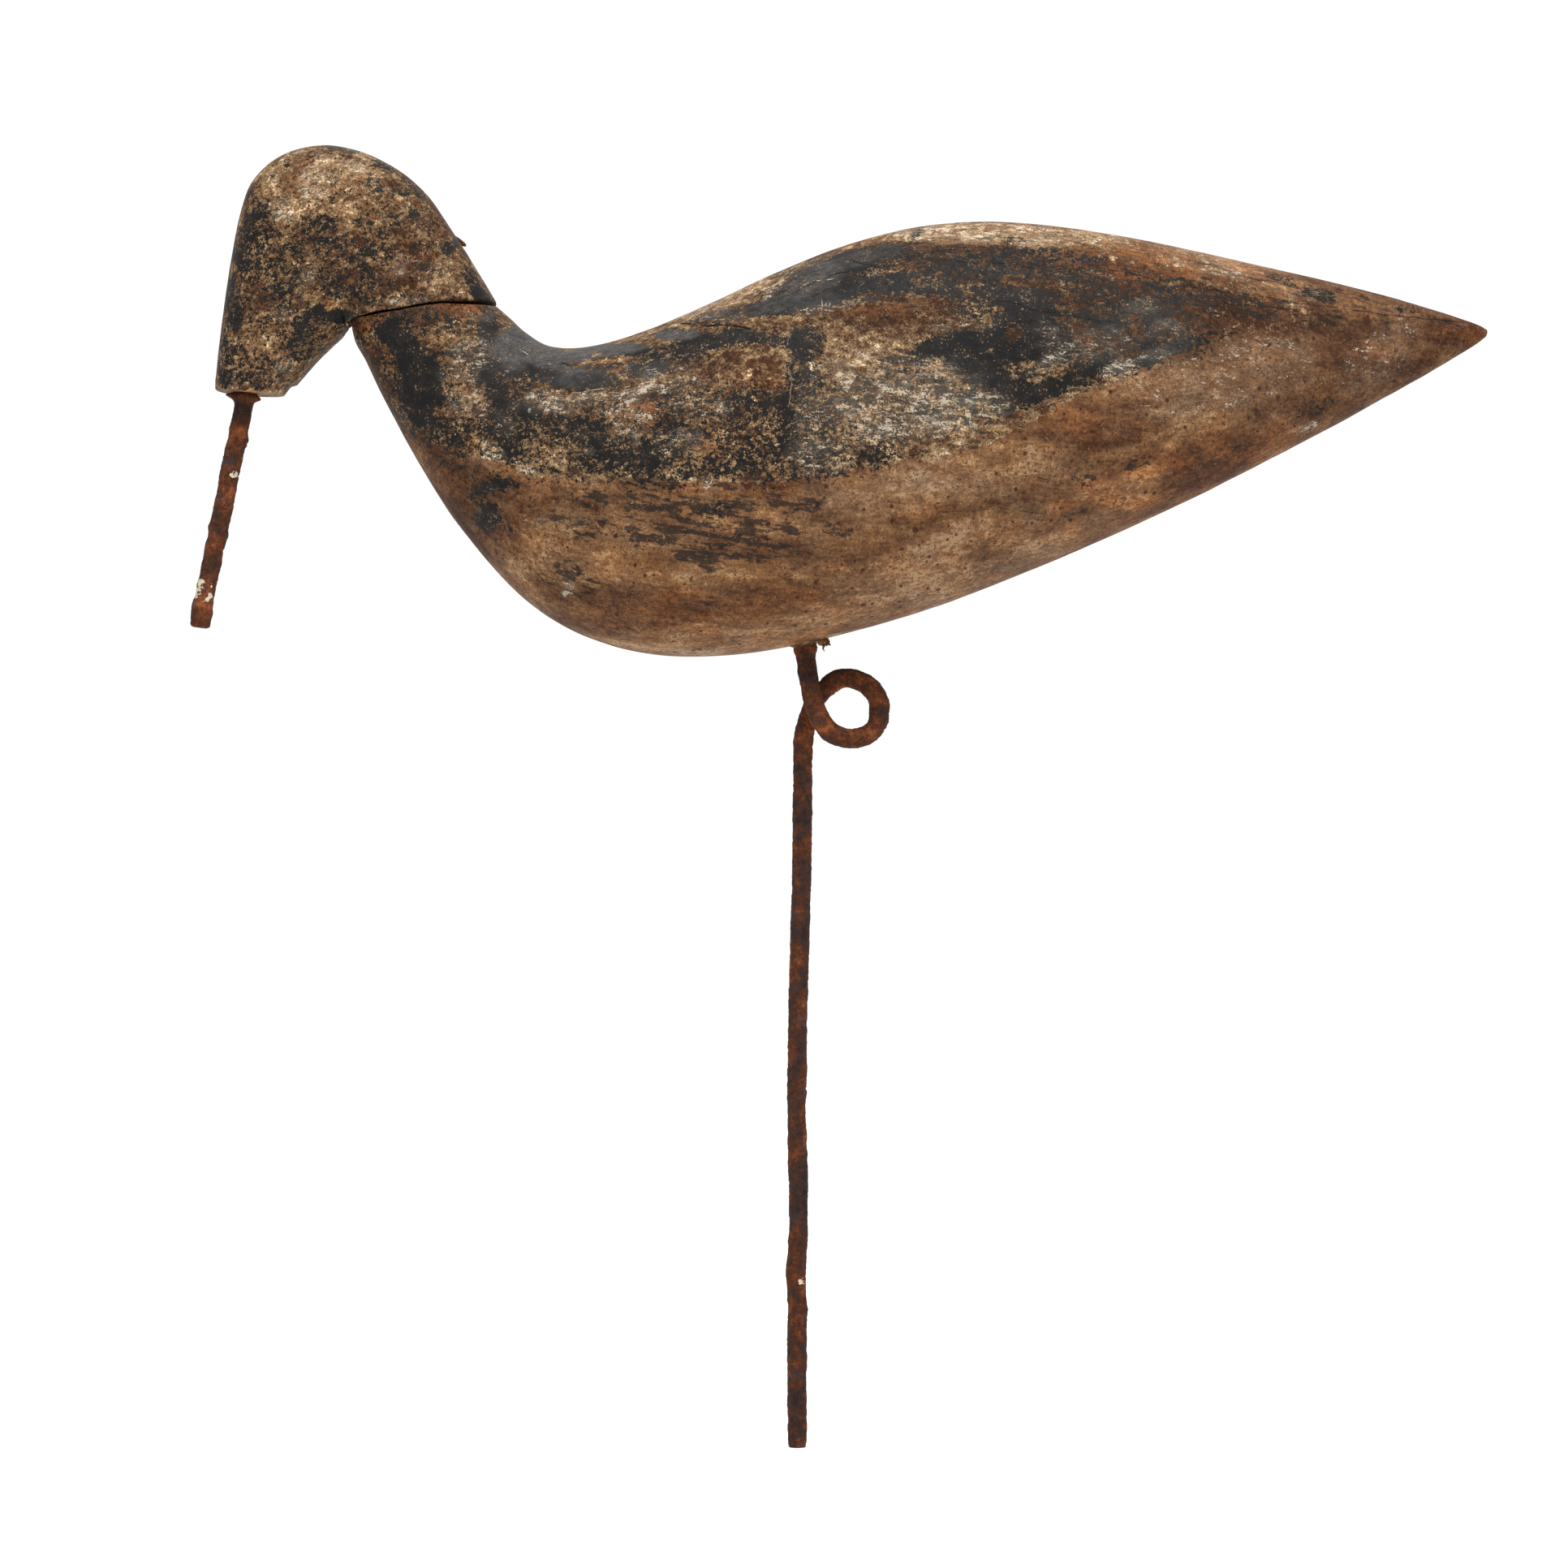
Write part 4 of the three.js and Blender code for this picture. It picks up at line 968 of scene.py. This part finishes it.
class PaintedBoard(Board):
    """Handled wood under worn paint, with painted sheen and painted light, built from the wood up. Each
    layer takes the colour below it, gives the colour with itself laid over, and keeps its mask for the
    bump."""

    def __init__(self, name, paint, grain, tilt):
        super().__init__(name)
        self.paint, self.tilt = paint, tilt
        self.along = self.stretched(grain, tilt)
        # The light layer holds painted highlight and painted fill light besides lighter wood, and the dark
        # layer a little painted shade.
        self.light_dark_and_painted_light = self.minus(self.layer("light"), self.layer("dark"))
        self.blotch = self.noise(120, 5, 0.6, self.along)
        self.medium = self.noise(170, 5, 0.62, self.stretched(0.7, tilt))
        self.patches = self.noise(210, 5, 0.6, self.stretched(0.8, tilt), distortion=0.4)
        self.fine = self.noise(700, 4, 0.6)
        self.crinkle = self.noise(720, 6, 0.66, self.stretched(0.8, tilt), distortion=0.3)
        self.fibre = self.noise(900, 3, 0.6, self.stretched(0.12, tilt))
        self.grit = self.noise(1900, 3, 0.6)

    def bare_wood(self):
        """A ramp of tones, pushed by noise of six sizes and by the light and dark layers, with specks, dark
        dots in warm halos, patches of stain, yellow, grey and red, and pale crumbs. The light layer also
        holds painted highlight and painted fill light, the dark one a little painted shade."""
        stain, tan = self.paint.stain, self.paint.tan
        broad = self.noise(34, 3, 0.5, self.along)
        mottle = self.noise(300, 5, 0.62, self.stretched(0.8, self.tilt))
        tone = self.blend((broad, 1.2), (self.blotch, 1.3), (mottle, 0.8), (self.fine, 1.0),
                          (self.fibre, 0.6), (self.grit, 0.8), (self.light_dark_and_painted_light, 0.36))
        wood = self.ramp(self.minus(tone, 2.35), (
            (0.0, shade(stain, 0.5)), (0.26, shade(stain, 1.0)), (0.5, self.paint.wood),
            (0.78, shade(self.paint.wood, 1.65)), (1.0, shade(tan, 1.3))))
        speck_field = self.remap(self.blotch, 0.35, 0.65, 0.69, 0.62)
        specks = self.remap(self.minus(self.noise(1150, 3, 0.55), speck_field), -0.035, -0.02)
        wood = self.mix(self.times(specks, 0.75), wood, linear(54, 30, 19))
        for frequency, largest, bare in ((130, 0.55, 0.36), (330, 0.5, 0.26)):
            own, distance = self.cells(frequency)
            size = self.times(own, largest, -bare)
            gap = self.minus(self.times(self.fine, 0.12, distance), size)
            halo = self.times(self.remap(gap, 0.22, 0.04), 0.3)
            wood = self.tint(halo, wood, linear(180, 132, 100))
            dot = self.remap(gap, 0.1, 0.05)
            wood = self.mix(self.times(dot, 0.85), wood, linear(50, 24, 16))
        stains = self.remap(self.noise(95, 5, 0.64, self.along), 0.5, 0.64)
        wood = self.tint(self.times(stains, 0.6), wood, linear(206, 184, 164))
        yellowed = self.remap(self.noise(62, 4, 0.6), 0.46, 0.62)
        wood = self.tint(self.times(yellowed, 0.5), wood, (1.2, 1.02, 0.76))
        greyed = self.remap(self.noise(85, 5, 0.64, self.stretched(0.7, self.tilt)), 0.52, 0.66)
        wood = self.tint(greyed, wood, (0.95, 1.02, 1.16))
        # The light layer, painted highlight and fill light included, also cools the wood's hue.
        wood = self.tint(self.layer("light"), wood, (0.97, 1.02, 1.13))
        reddened = self.times(self.layer("red"), self.remap(self.blotch, 0.35, 0.6))
        wood = self.tint(reddened, wood, (1.16, 0.86, 0.64))
        crumb = self.remap(self.noise(1500, 4, 0.6), 0.66, 0.7)
        return self.mix(self.times(crumb, 0.5), wood, shade(tan, 2.0))

    def old_tan(self, colour):
        """The older paint above its edge: a ramp of tones from grime to chalk, yellower in its layer."""
        stain, tan, pale = self.paint.stain, self.paint.tan, self.paint.pale
        crumbs = self.noise(620, 6, 0.7, self.stretched(0.75, self.tilt))
        tone = self.blend((crumbs, 2.2), (self.medium, 1.7), (self.grit, 1.5), (self.light_dark_and_painted_light, 0.32))
        laid = self.ramp(self.minus(tone, 2.3), (
            (0.0, shade(stain, 0.35)), (0.24, shade(stain, 0.9)), (0.48, shade(tan, 0.6)),
            (0.7, tan), (0.88, shade(tan, 1.6)), (1.0, shade(pale, 1.25))))
        above_edge = self.times(self.minus(self.blotch, 0.5), 8.0, self.layer("above_edge"))
        cover = self.times(self.layer("old_tan"), self.remap(above_edge, -0.6, 0.6))
        self.tan_mask = self.covered(cover, self.remap(self.noise(330, 5, 0.62), 0.36, 0.64), 0.02, 0.2)
        colour = self.mix(self.tan_mask, colour, laid)
        ochre = self.times(self.layer("ochre"), self.remap(self.blotch, 0.36, 0.6, 0.5, 1.0))
        return self.tint(ochre, colour, (1.16, 0.98, 0.72))

    def charcoal(self, colour):
        """The dark paint: whole where its layer is above a crinkled pattern with round spots, dragged along
        the grain in the streaks, thin at its edges, with a painted blue-grey sheen in its layer of painted
        sheen. Dirt and a pale rim lie round it, and crumbs of tan show in it."""
        own, distance = self.cells(430)
        spot_gap = self.minus(self.times(self.crinkle, 0.5, distance), self.times(own, 0.6))
        pattern = self.blend((self.crinkle, 0.62), (self.patches, 0.16), (self.grit, 0.22))
        spots = self.times(self.remap(spot_gap, 0.06, 0.0), 0.85)
        pattern = self.larger(self.remap(pattern, 0.415, 0.585), spots)
        layer = self.layer("charcoal")
        gap = self.minus(self.times(self.remap(layer, 0.7, 1.0), 0.25, layer), pattern)
        softness = self.remap(self.medium, 0.42, 0.62, 0.0, 0.09)
        flaked = self.remap(gap, self.times(softness, -1.0, -0.02), self.maths("ADD", softness, 0.03))
        present = self.remap(layer, 0.05, 0.3)
        rim = self.times(self.remap(gap, -0.1, -0.02), present)
        dirt = self.times(self.remap(gap, -0.4, 0.0), present)
        drag = self.noise(560, 5, 0.62, self.stretched(0.17, self.tilt - 4))
        drag = self.remap(self.blend((drag, 0.72), (self.crinkle, 0.28)), 0.4, 0.6)
        dragged = self.times(self.covered(self.layer("streaks"), drag, 0.03, 0.34), 0.85)
        self.charcoal_mask = self.larger(flaked, dragged)
        thick = self.larger(self.remap(gap, 0.0, 0.3), self.times(dragged, 0.95))
        thin = self.tint(1.0, colour, linear(110, 100, 92))
        browner = self.remap(self.blend((self.patches, 0.5), (self.grit, 0.5)), 0.42, 0.66)
        laid = self.mix(thick, thin, self.mix(browner, self.paint.charcoal, linear(35, 31, 28)))
        # Painted sheen: where its layer is, the charcoal turns blue-grey as if the overhead light gleamed
        # on it.
        sheen_share = self.noise(700, 6, 0.75, self.stretched(0.6, self.tilt + 8))
        sheen_share = self.times(self.layer("painted_sheen"), self.remap(sheen_share, 0.36, 0.66, 0.3, 1.0))
        laid = self.mix(self.times(sheen_share, 0.75), laid, self.paint.painted_sheen_colour)
        colour = self.tint(self.times(dirt, 0.5), colour, linear(140, 126, 112))
        colour = self.mix(self.times(rim, 0.22), colour, self.paint.pale)
        colour = self.mix(self.charcoal_mask, colour, laid)
        crumb_field = self.remap(self.patches, 0.35, 0.65, 0.7, 0.6)
        crumbs = self.remap(self.minus(self.noise(1500, 4, 0.6), crumb_field), 0.0, 0.02)
        crumbs = self.times(crumbs, self.charcoal_mask)
        return self.mix(self.times(crumbs, 0.75), colour, shade(self.paint.tan, 1.2))

    def scuffs(self, colour):
        """Haze, chalk and scribbled scratches in the pale layer, whose rows along the back's top edge are a
        painted highlight, then the thin pale and dark lines.
        """
        pale_layer, pale = self.layer("pale"), self.paint.pale
        haze = self.remap(self.noise(110, 6, 0.65, self.stretched(0.6, self.tilt)), 0.3, 0.66)
        haze = self.times(self.times(pale_layer, 0.14), haze)
        chalk = self.noise(800, 5, 0.66, self.stretched(0.35, self.tilt))
        chalk = self.remap(self.blend((chalk, 0.6), (self.patches, 0.15), (self.grit, 0.25)), 0.62, 0.42)
        chalked = self.covered(self.times(pale_layer, 0.52), chalk, 0.0, 0.16)
        ridge = self.noise(420, 5, 0.6, self.stretched(0.35, self.tilt + 4), distortion=0.5)
        ridge = self.maths("ABSOLUTE", self.minus(ridge, 0.5))
        scribble = self.times(self.remap(ridge, 0.016, 0.004), pale_layer)
        scribble = self.times(scribble, self.remap(self.noise(90, 3, 0.5), 0.48, 0.56))
        colour = self.mix(haze, colour, pale)
        colour = self.mix(self.times(chalked, 0.7), colour, pale)
        colour = self.mix(self.times(scribble, 0.55), colour, shade(pale, 1.35))
        for kind, broken_from, line_colour in (("pale", 0.47, shade(pale, 1.1)),
                                               ("dark", 0.4, shade(self.paint.charcoal, 0.5))):
            beside = self.maths("ABSOLUTE", self.layer(kind + "_line_side"))
            line = self.times(self.remap(beside, 1.0, 0.6), self.layer(kind + "_line"))
            line = self.times(line, self.remap(self.noise(300, 4, 0.6), broken_from, 0.56))
            colour = self.mix(line, colour, line_colour)
        self.dark_line = line
        return colour


def painted_wood(name, paint, grain, tilt):
    """Bare wood, old tan paint, charcoal paint and scuffs over each other, with painted sheen, highlight,
    fill light and shade among them. Paint is smoother than wood. It raises the bump, the wood's grain
    roughens it and the dark lines cut into it."""
    board = PaintedBoard(name, paint, grain, tilt)
    colour = board.scuffs(board.charcoal(board.old_tan(board.bare_wood())))
    roughness = board.remap(board.charcoal_mask, 0, 1, 0.7, 0.5, smooth=False)
    height = board.blend((board.charcoal_mask, 0.35), (board.tan_mask, 0.3), (board.fine, 0.5),
                         (board.fibre, 0.3), (board.dark_line, -2.5), (board.blotch, 0.6))
    return board.finish(colour, roughness, height, 0.0002, specular=0.1)


def torn_wood(name, paint):
    """Torn fibres: pale wood, rust-stained and dark in streaks across the spikes."""
    board = Board(name)
    fibre = board.noise(1500, 4, 0.6, board.stretched(4.0))
    tone = board.blend((fibre, 1.2), (board.noise(300, 4, 0.6), 1.9))
    colour = board.ramp(board.minus(tone, 1.05), (
        (0.0, shade(paint.stain, 0.5)), (0.4, paint.stain), (0.6, paint.wood), (0.8, paint.tan),
        (1.0, paint.pale)))
    return board.finish(colour, 0.8, fibre, 0.0002, specular=0.1)


def rusted_iron(name, paint, freshness):
    """Rusted iron: one ramp from black scale over brown to orange bloom, pushed by noise of three sizes, by
    the orange layer and by freshness. Bald spots are blue-grey, and pale flecks come from their layer."""
    board = Board(name)
    patches, scale = board.noise(85, 6, 0.62), board.noise(330, 6, 0.66)
    grit = board.noise(1100, 4, 0.6)
    tone = board.blend((patches, 2.2), (scale, 1.5), (grit, 1.0), (board.layer("orange"), 0.3))
    tone = board.maths("ADD", tone, freshness - 2.17, clamp=True)
    colour = board.ramp(tone, (
        (0.0, shade(paint.rust, 0.6)), (0.28, paint.rust), (0.5, shade(paint.fresh_rust, 0.55)),
        (0.72, paint.fresh_rust), (0.9, shade(paint.fresh_rust, 1.4)), (1.0, shade(paint.fresh_rust, 2.1))))
    bald = board.remap(board.noise(210, 5, 0.65), 0.55, 0.63)
    colour = board.mix(board.times(bald, 0.55), colour, linear(50, 42, 42))
    flecks = board.covered(board.layer("flecks"), board.remap(scale, 0.35, 0.65), 0.0, 0.08)
    colour = board.mix(flecks, colour, linear(186, 172, 152))
    height = board.blend((scale, 1.0), (grit, 0.6), (patches, 0.6))
    return board.finish(colour, 0.8, height, 0.0007, specular=0.12)


# Rods of rusted iron


def rod_grid(line, count, sides, radius_at):
    """A rod on a grid along and round: line(s) + r(s) (n cos a + b sin a), with s the distance along the
    line, and n and b square to it, b nearest to +Y."""
    middle = smooth_line(line, even_shares(line, count))
    along = travelled(np.linalg.norm(np.diff(middle, axis=0), axis=1))
    travel = np.gradient(middle, axis=0)
    travel /= np.linalg.norm(travel, axis=1, keepdims=True)
    aside = np.cross(travel, (0.0, 1.0, 0.0))
    aside /= np.linalg.norm(aside, axis=1, keepdims=True)
    other = np.cross(travel, aside)
    angles = np.linspace(0, 2 * np.pi, sides, endpoint=False)
    outward = (aside[:, None, :] * np.cos(angles)[None, :, None]
               + other[:, None, :] * np.sin(angles)[None, :, None])
    return middle[:, None, :] + outward * radius_at(along)[:, None, None], outward


def rust_scale(grid, height):
    """Displacement of rusted rod: slow swells, lumps of scale and sharp pits."""
    swell = cloud(grid, 9, 61, 2)
    lumps = cloud(grid, 3.2, 67, 3)
    grit = cloud(grid, 0.9, 71, 3)
    pits = soft_step(0.35, 0.7, cloud(grid, 1.8, 73, 2))
    return height * (0.55 * swell + 0.75 * lumps + 0.5 * grit - 0.9 * pits)


def rust_lumps(grid, lumps):
    """Displacement of blisters of rust: the sum of height * exp(-(distance / reach)^2) for rows of centre,
    reach and height."""
    total = 0.0
    for *centre, reach, height in lumps:
        distance = np.linalg.norm(grid - np.array(centre), axis=-1)
        total = total + height * np.exp(-(distance / reach) ** 2)
    return total * (1 + 0.5 * cloud(grid, 1.4, 77, 3))


def rusted_rod(name, line, count, sides, radius_at, relief, lumps, caps):
    """A rod's closed mesh, with rust scale of that relief and lumps on it, and a lid at each end."""
    grid, outward = rod_grid(line, count, sides, radius_at)
    crust = rust_scale(grid, relief) + rust_lumps(grid, lumps)
    return closed_mesh(name, inside_cad_box(capped(grid + outward * crust[..., None], *caps)))


def iron_layers(mesh, orange_marks, fleck_marks):
    """Gives a piece of iron its layers of orange bloom and pale flecks."""
    points = vertices_of(mesh)
    across, down = side_view(points)
    across = across + 3 * cloud(points, 4, 81, 3)
    down = down + 3 * cloud(points, 4, 83, 3)
    set_layer(mesh, "orange", laid_marks(across, down, orange_marks))
    set_layer(mesh, "flecks", laid_marks(across, down, fleck_marks))


# Pieces, stage and panel


def settings_of(context):
    scene = context.scene
    return scene.decoy_carving, scene.decoy_iron, scene.decoy_paint, scene.decoy_stage


class DECOY_OT_body(bpy.types.Operator):
    """Carve and paint the body with its neck and tail"""

    bl_idname = "decoy.body"
    bl_label = "Body"

    def execute(self, context):
        carving, _, paint, _ = settings_of(context)
        length = carving.bird_length / MM
        grid = carve(BODY_RIBS, length, carving.rings, ring_angles(carving.sides, BODY_DEPTH),
                     BODY_SQUARENESS, carving, 0.5 * carving.edge_wear / MM, 0)
        mesh = closed_mesh("carved_body", inside_cad_box(capped(grid, 10, 6, TAIL_DOME)))
        lay_paint(mesh)
        show(mesh, "body", painted_wood("worn_paint_and_painted_light_on_body", paint, 0.4, -4))
        return {"FINISHED"}


class DECOY_OT_splinters(bpy.types.Operator):
    """Tear up the fibres of the belly round the stake"""

    bl_idname = "decoy.splinters"
    bl_label = "Torn fibres"

    def execute(self, context):
        _, _, paint, _ = settings_of(context)
        parts = [closed_mesh("torn_rim", torn_rim())]
        parts += [closed_mesh("splinter", splinter_grid(*spike, number))
                  for number, spike in enumerate(SPLINTERS)]
        show(joined(parts, "torn_fibres"), "body", torn_wood("torn_fibre", paint))
        return {"FINISHED"}


class DECOY_OT_head(bpy.types.Operator):
    """Carve and paint the head"""

    bl_idname = "decoy.head"
    bl_label = "Head"

    def execute(self, context):
        carving, _, paint, _ = settings_of(context)
        length = carving.bird_length / MM
        grid = carve(HEAD_RIBS, length, HEAD_RINGS, ring_angles(HEAD_SIDES, HEAD_DEPTH), HEAD_SQUARENESS,
                     carving, 0.6 * carving.edge_wear / MM, 0.4 * carving.edge_wear / MM)
        mesh = closed_mesh("carved_head", inside_cad_box(capped(grid, 12, 12)))
        lay_paint(mesh)
        show(mesh, "head", painted_wood("worn_paint_and_painted_light_on_head", paint, 0.8, 20))
        return {"FINISHED"}


class DECOY_OT_bill(bpy.types.Operator):
    """Forge the rusted bill"""

    bl_idname = "decoy.bill"
    bl_label = "Bill"

    def execute(self, context):
        _, iron, paint, _ = settings_of(context)
        radius = iron.bill_diameter / MM / 2

        def radius_at(along):
            swelling = 0.25 * soft_step(SWELLING_FROM, SWELLING_TO, along)
            return radius + swelling - 0.35 * radius * soft_step(TIP_FROM, TIP_TO, along) ** 2

        mesh = rusted_rod("rusted_bill", BILL_LINE, 380, 56, radius_at, iron.rust_relief / MM, BILL_LUMPS,
                          (3, 4))
        iron_layers(mesh, BILL_ORANGE, BILL_FLECKS)
        show(mesh, "bill", rusted_iron("rust_on_bill", paint, 0.32))
        return {"FINISHED"}


class DECOY_OT_nail(bpy.types.Operator):
    """Drive in the nail that holds the head"""

    bl_idname = "decoy.nail"
    bl_label = "Nail"

    def execute(self, context):
        _, iron, paint, _ = settings_of(context)
        slant = math.radians(NAIL_SLANT)
        down = np.array([-math.sin(slant), 0, -math.cos(slant)])
        places, radii = zip(*NAIL_RADII)

        def radius_at(along):
            return np.interp(along, places, radii)

        mesh = rusted_rod("bent_nail", (NAIL_TOP, NAIL_TOP + down * NAIL_LENGTH), 300, 32, radius_at,
                          0.7 * iron.rust_relief / MM, NAIL_LUMPS, (4, 2))
        iron_layers(mesh, NAIL_ORANGE, ())
        show(mesh, "head_nail", rusted_iron("rust_on_nail", paint, 0.25))
        return {"FINISHED"}


class DECOY_OT_stake(bpy.types.Operator):
    """Bend the rusted stake with its eye"""

    bl_idname = "decoy.stake"
    bl_label = "Stake"

    def execute(self, context):
        _, iron, paint, _ = settings_of(context)
        shank, eye = iron.stake_diameter / MM / 2, iron.eye_diameter / MM / 2

        def radius_at(along):
            worn_foot = 0.5 * soft_step(FOOT_END, 0.0, along)
            return shank + (eye - shank) * soft_step(EYE_WIDTH_FROM, EYE_WIDTH_TO, along) - worn_foot

        mesh = rusted_rod("rusted_stake", SHANK_LINE + EYE_LINE, 1400, 56, radius_at,
                          iron.rust_relief / MM, STAKE_LUMPS, (4, 2))
        iron_layers(mesh, STAKE_ORANGE, STAKE_FLECKS)
        show(mesh, "stake", rusted_iron("rust_on_stake", paint, 0.24))
        return {"FINISHED"}


class DECOY_OT_stage(bpy.types.Operator):
    """Set up the pale floor, the studio light and the camera"""

    bl_idname = "decoy.stage"
    bl_label = "Stage"

    def execute(self, context):
        *_, stage = settings_of(context)
        scene = context.scene
        scene.view_settings.view_transform = "Standard"

        half = stage.floor_width / 2
        corners = [(-half, -half, 0), (half, -half, 0), (half, half, 0), (-half, half, 0)]
        mesh = bpy.data.meshes.new("studio_floor")
        mesh.from_pydata(corners, [], [(0, 1, 2, 3)])
        board = Board("white_floor")
        mesh.materials.append(board.finish(stage.floor_colour, 0.9, 0.0, 0.0, specular=0.1))
        floor = bpy.data.objects.new("studio_floor", mesh)
        scene.collection.objects.link(floor)

        room = bpy.data.worlds.new("white_room")
        room.use_nodes = True
        background = room.node_tree.nodes["Background"]
        background.inputs["Color"].default_value = (1, 1, 1, 1)
        background.inputs["Strength"].default_value = stage.room_light
        scene.world = room

        light = bpy.data.lights.new("overhead_light", "AREA")
        light.shape, light.size, light.size_y = "RECTANGLE", 1.2, 0.7
        light.energy = stage.key_power
        lamp = bpy.data.objects.new("overhead_light", light)
        lamp.location = (0.1, -0.75, 1.5)
        aim = Vector((0.0, 0.0, 0.3)) - lamp.location
        lamp.rotation_euler = aim.to_track_quat("-Z", "Y").to_euler()
        scene.collection.objects.link(lamp)

        camera = bpy.data.cameras.new("side_camera")
        camera.lens, camera.sensor_width = 105, 36
        camera.clip_start, camera.clip_end = 0.05, 50
        seen_from = bpy.data.objects.new("side_camera", camera)
        seen_from.location = (VIEW_CENTRE[0] * MM, -VIEW_DISTANCE * MM, VIEW_CENTRE[1] * MM)
        seen_from.rotation_euler = (math.radians(90), 0, 0)
        scene.collection.objects.link(seen_from)
        scene.camera = seen_from
        return {"FINISHED"}


class DECOY_PT_panel(bpy.types.Panel):
    """Lists the decoy's pieces in the sidebar"""

    bl_idname = "DECOY_PT_panel"
    bl_label = "Shorebird Decoy"
    bl_space_type = "VIEW_3D"
    bl_region_type = "UI"
    bl_category = "Decoy"

    def draw(self, context):
        layout = self.layout
        for settings in settings_of(context):
            box = layout.box()
            for name in settings.bl_rna.properties.keys():
                if name not in ("rna_type", "name"):
                    box.prop(settings, name)
        for operator in PIECES:
            layout.operator(operator.bl_idname)


PIECES = (DECOY_OT_body, DECOY_OT_splinters, DECOY_OT_head, DECOY_OT_bill, DECOY_OT_nail,
          DECOY_OT_stake, DECOY_OT_stage)
SETTINGS = {"decoy_carving": CarvingSettings, "decoy_iron": IronSettings,
            "decoy_paint": PaintSettings, "decoy_stage": StageSettings}


def register():
    for kind in (*SETTINGS.values(), *PIECES, DECOY_PT_panel):
        bpy.utils.register_class(kind)
    for name, kind in SETTINGS.items():
        setattr(bpy.types.Scene, name, PointerProperty(type=kind))


def unregister():
    for name in SETTINGS:
        delattr(bpy.types.Scene, name)
    for kind in (DECOY_PT_panel, *reversed(PIECES), *reversed(SETTINGS.values())):
        bpy.utils.unregister_class(kind)


def main():
    register()
    bpy.ops.decoy.stage()
    bpy.ops.decoy.body()
    bpy.ops.decoy.splinters()
    bpy.ops.decoy.head()
    bpy.ops.decoy.bill()
    bpy.ops.decoy.nail()
    bpy.ops.decoy.stake()


if __name__ == "__main__":
    main()
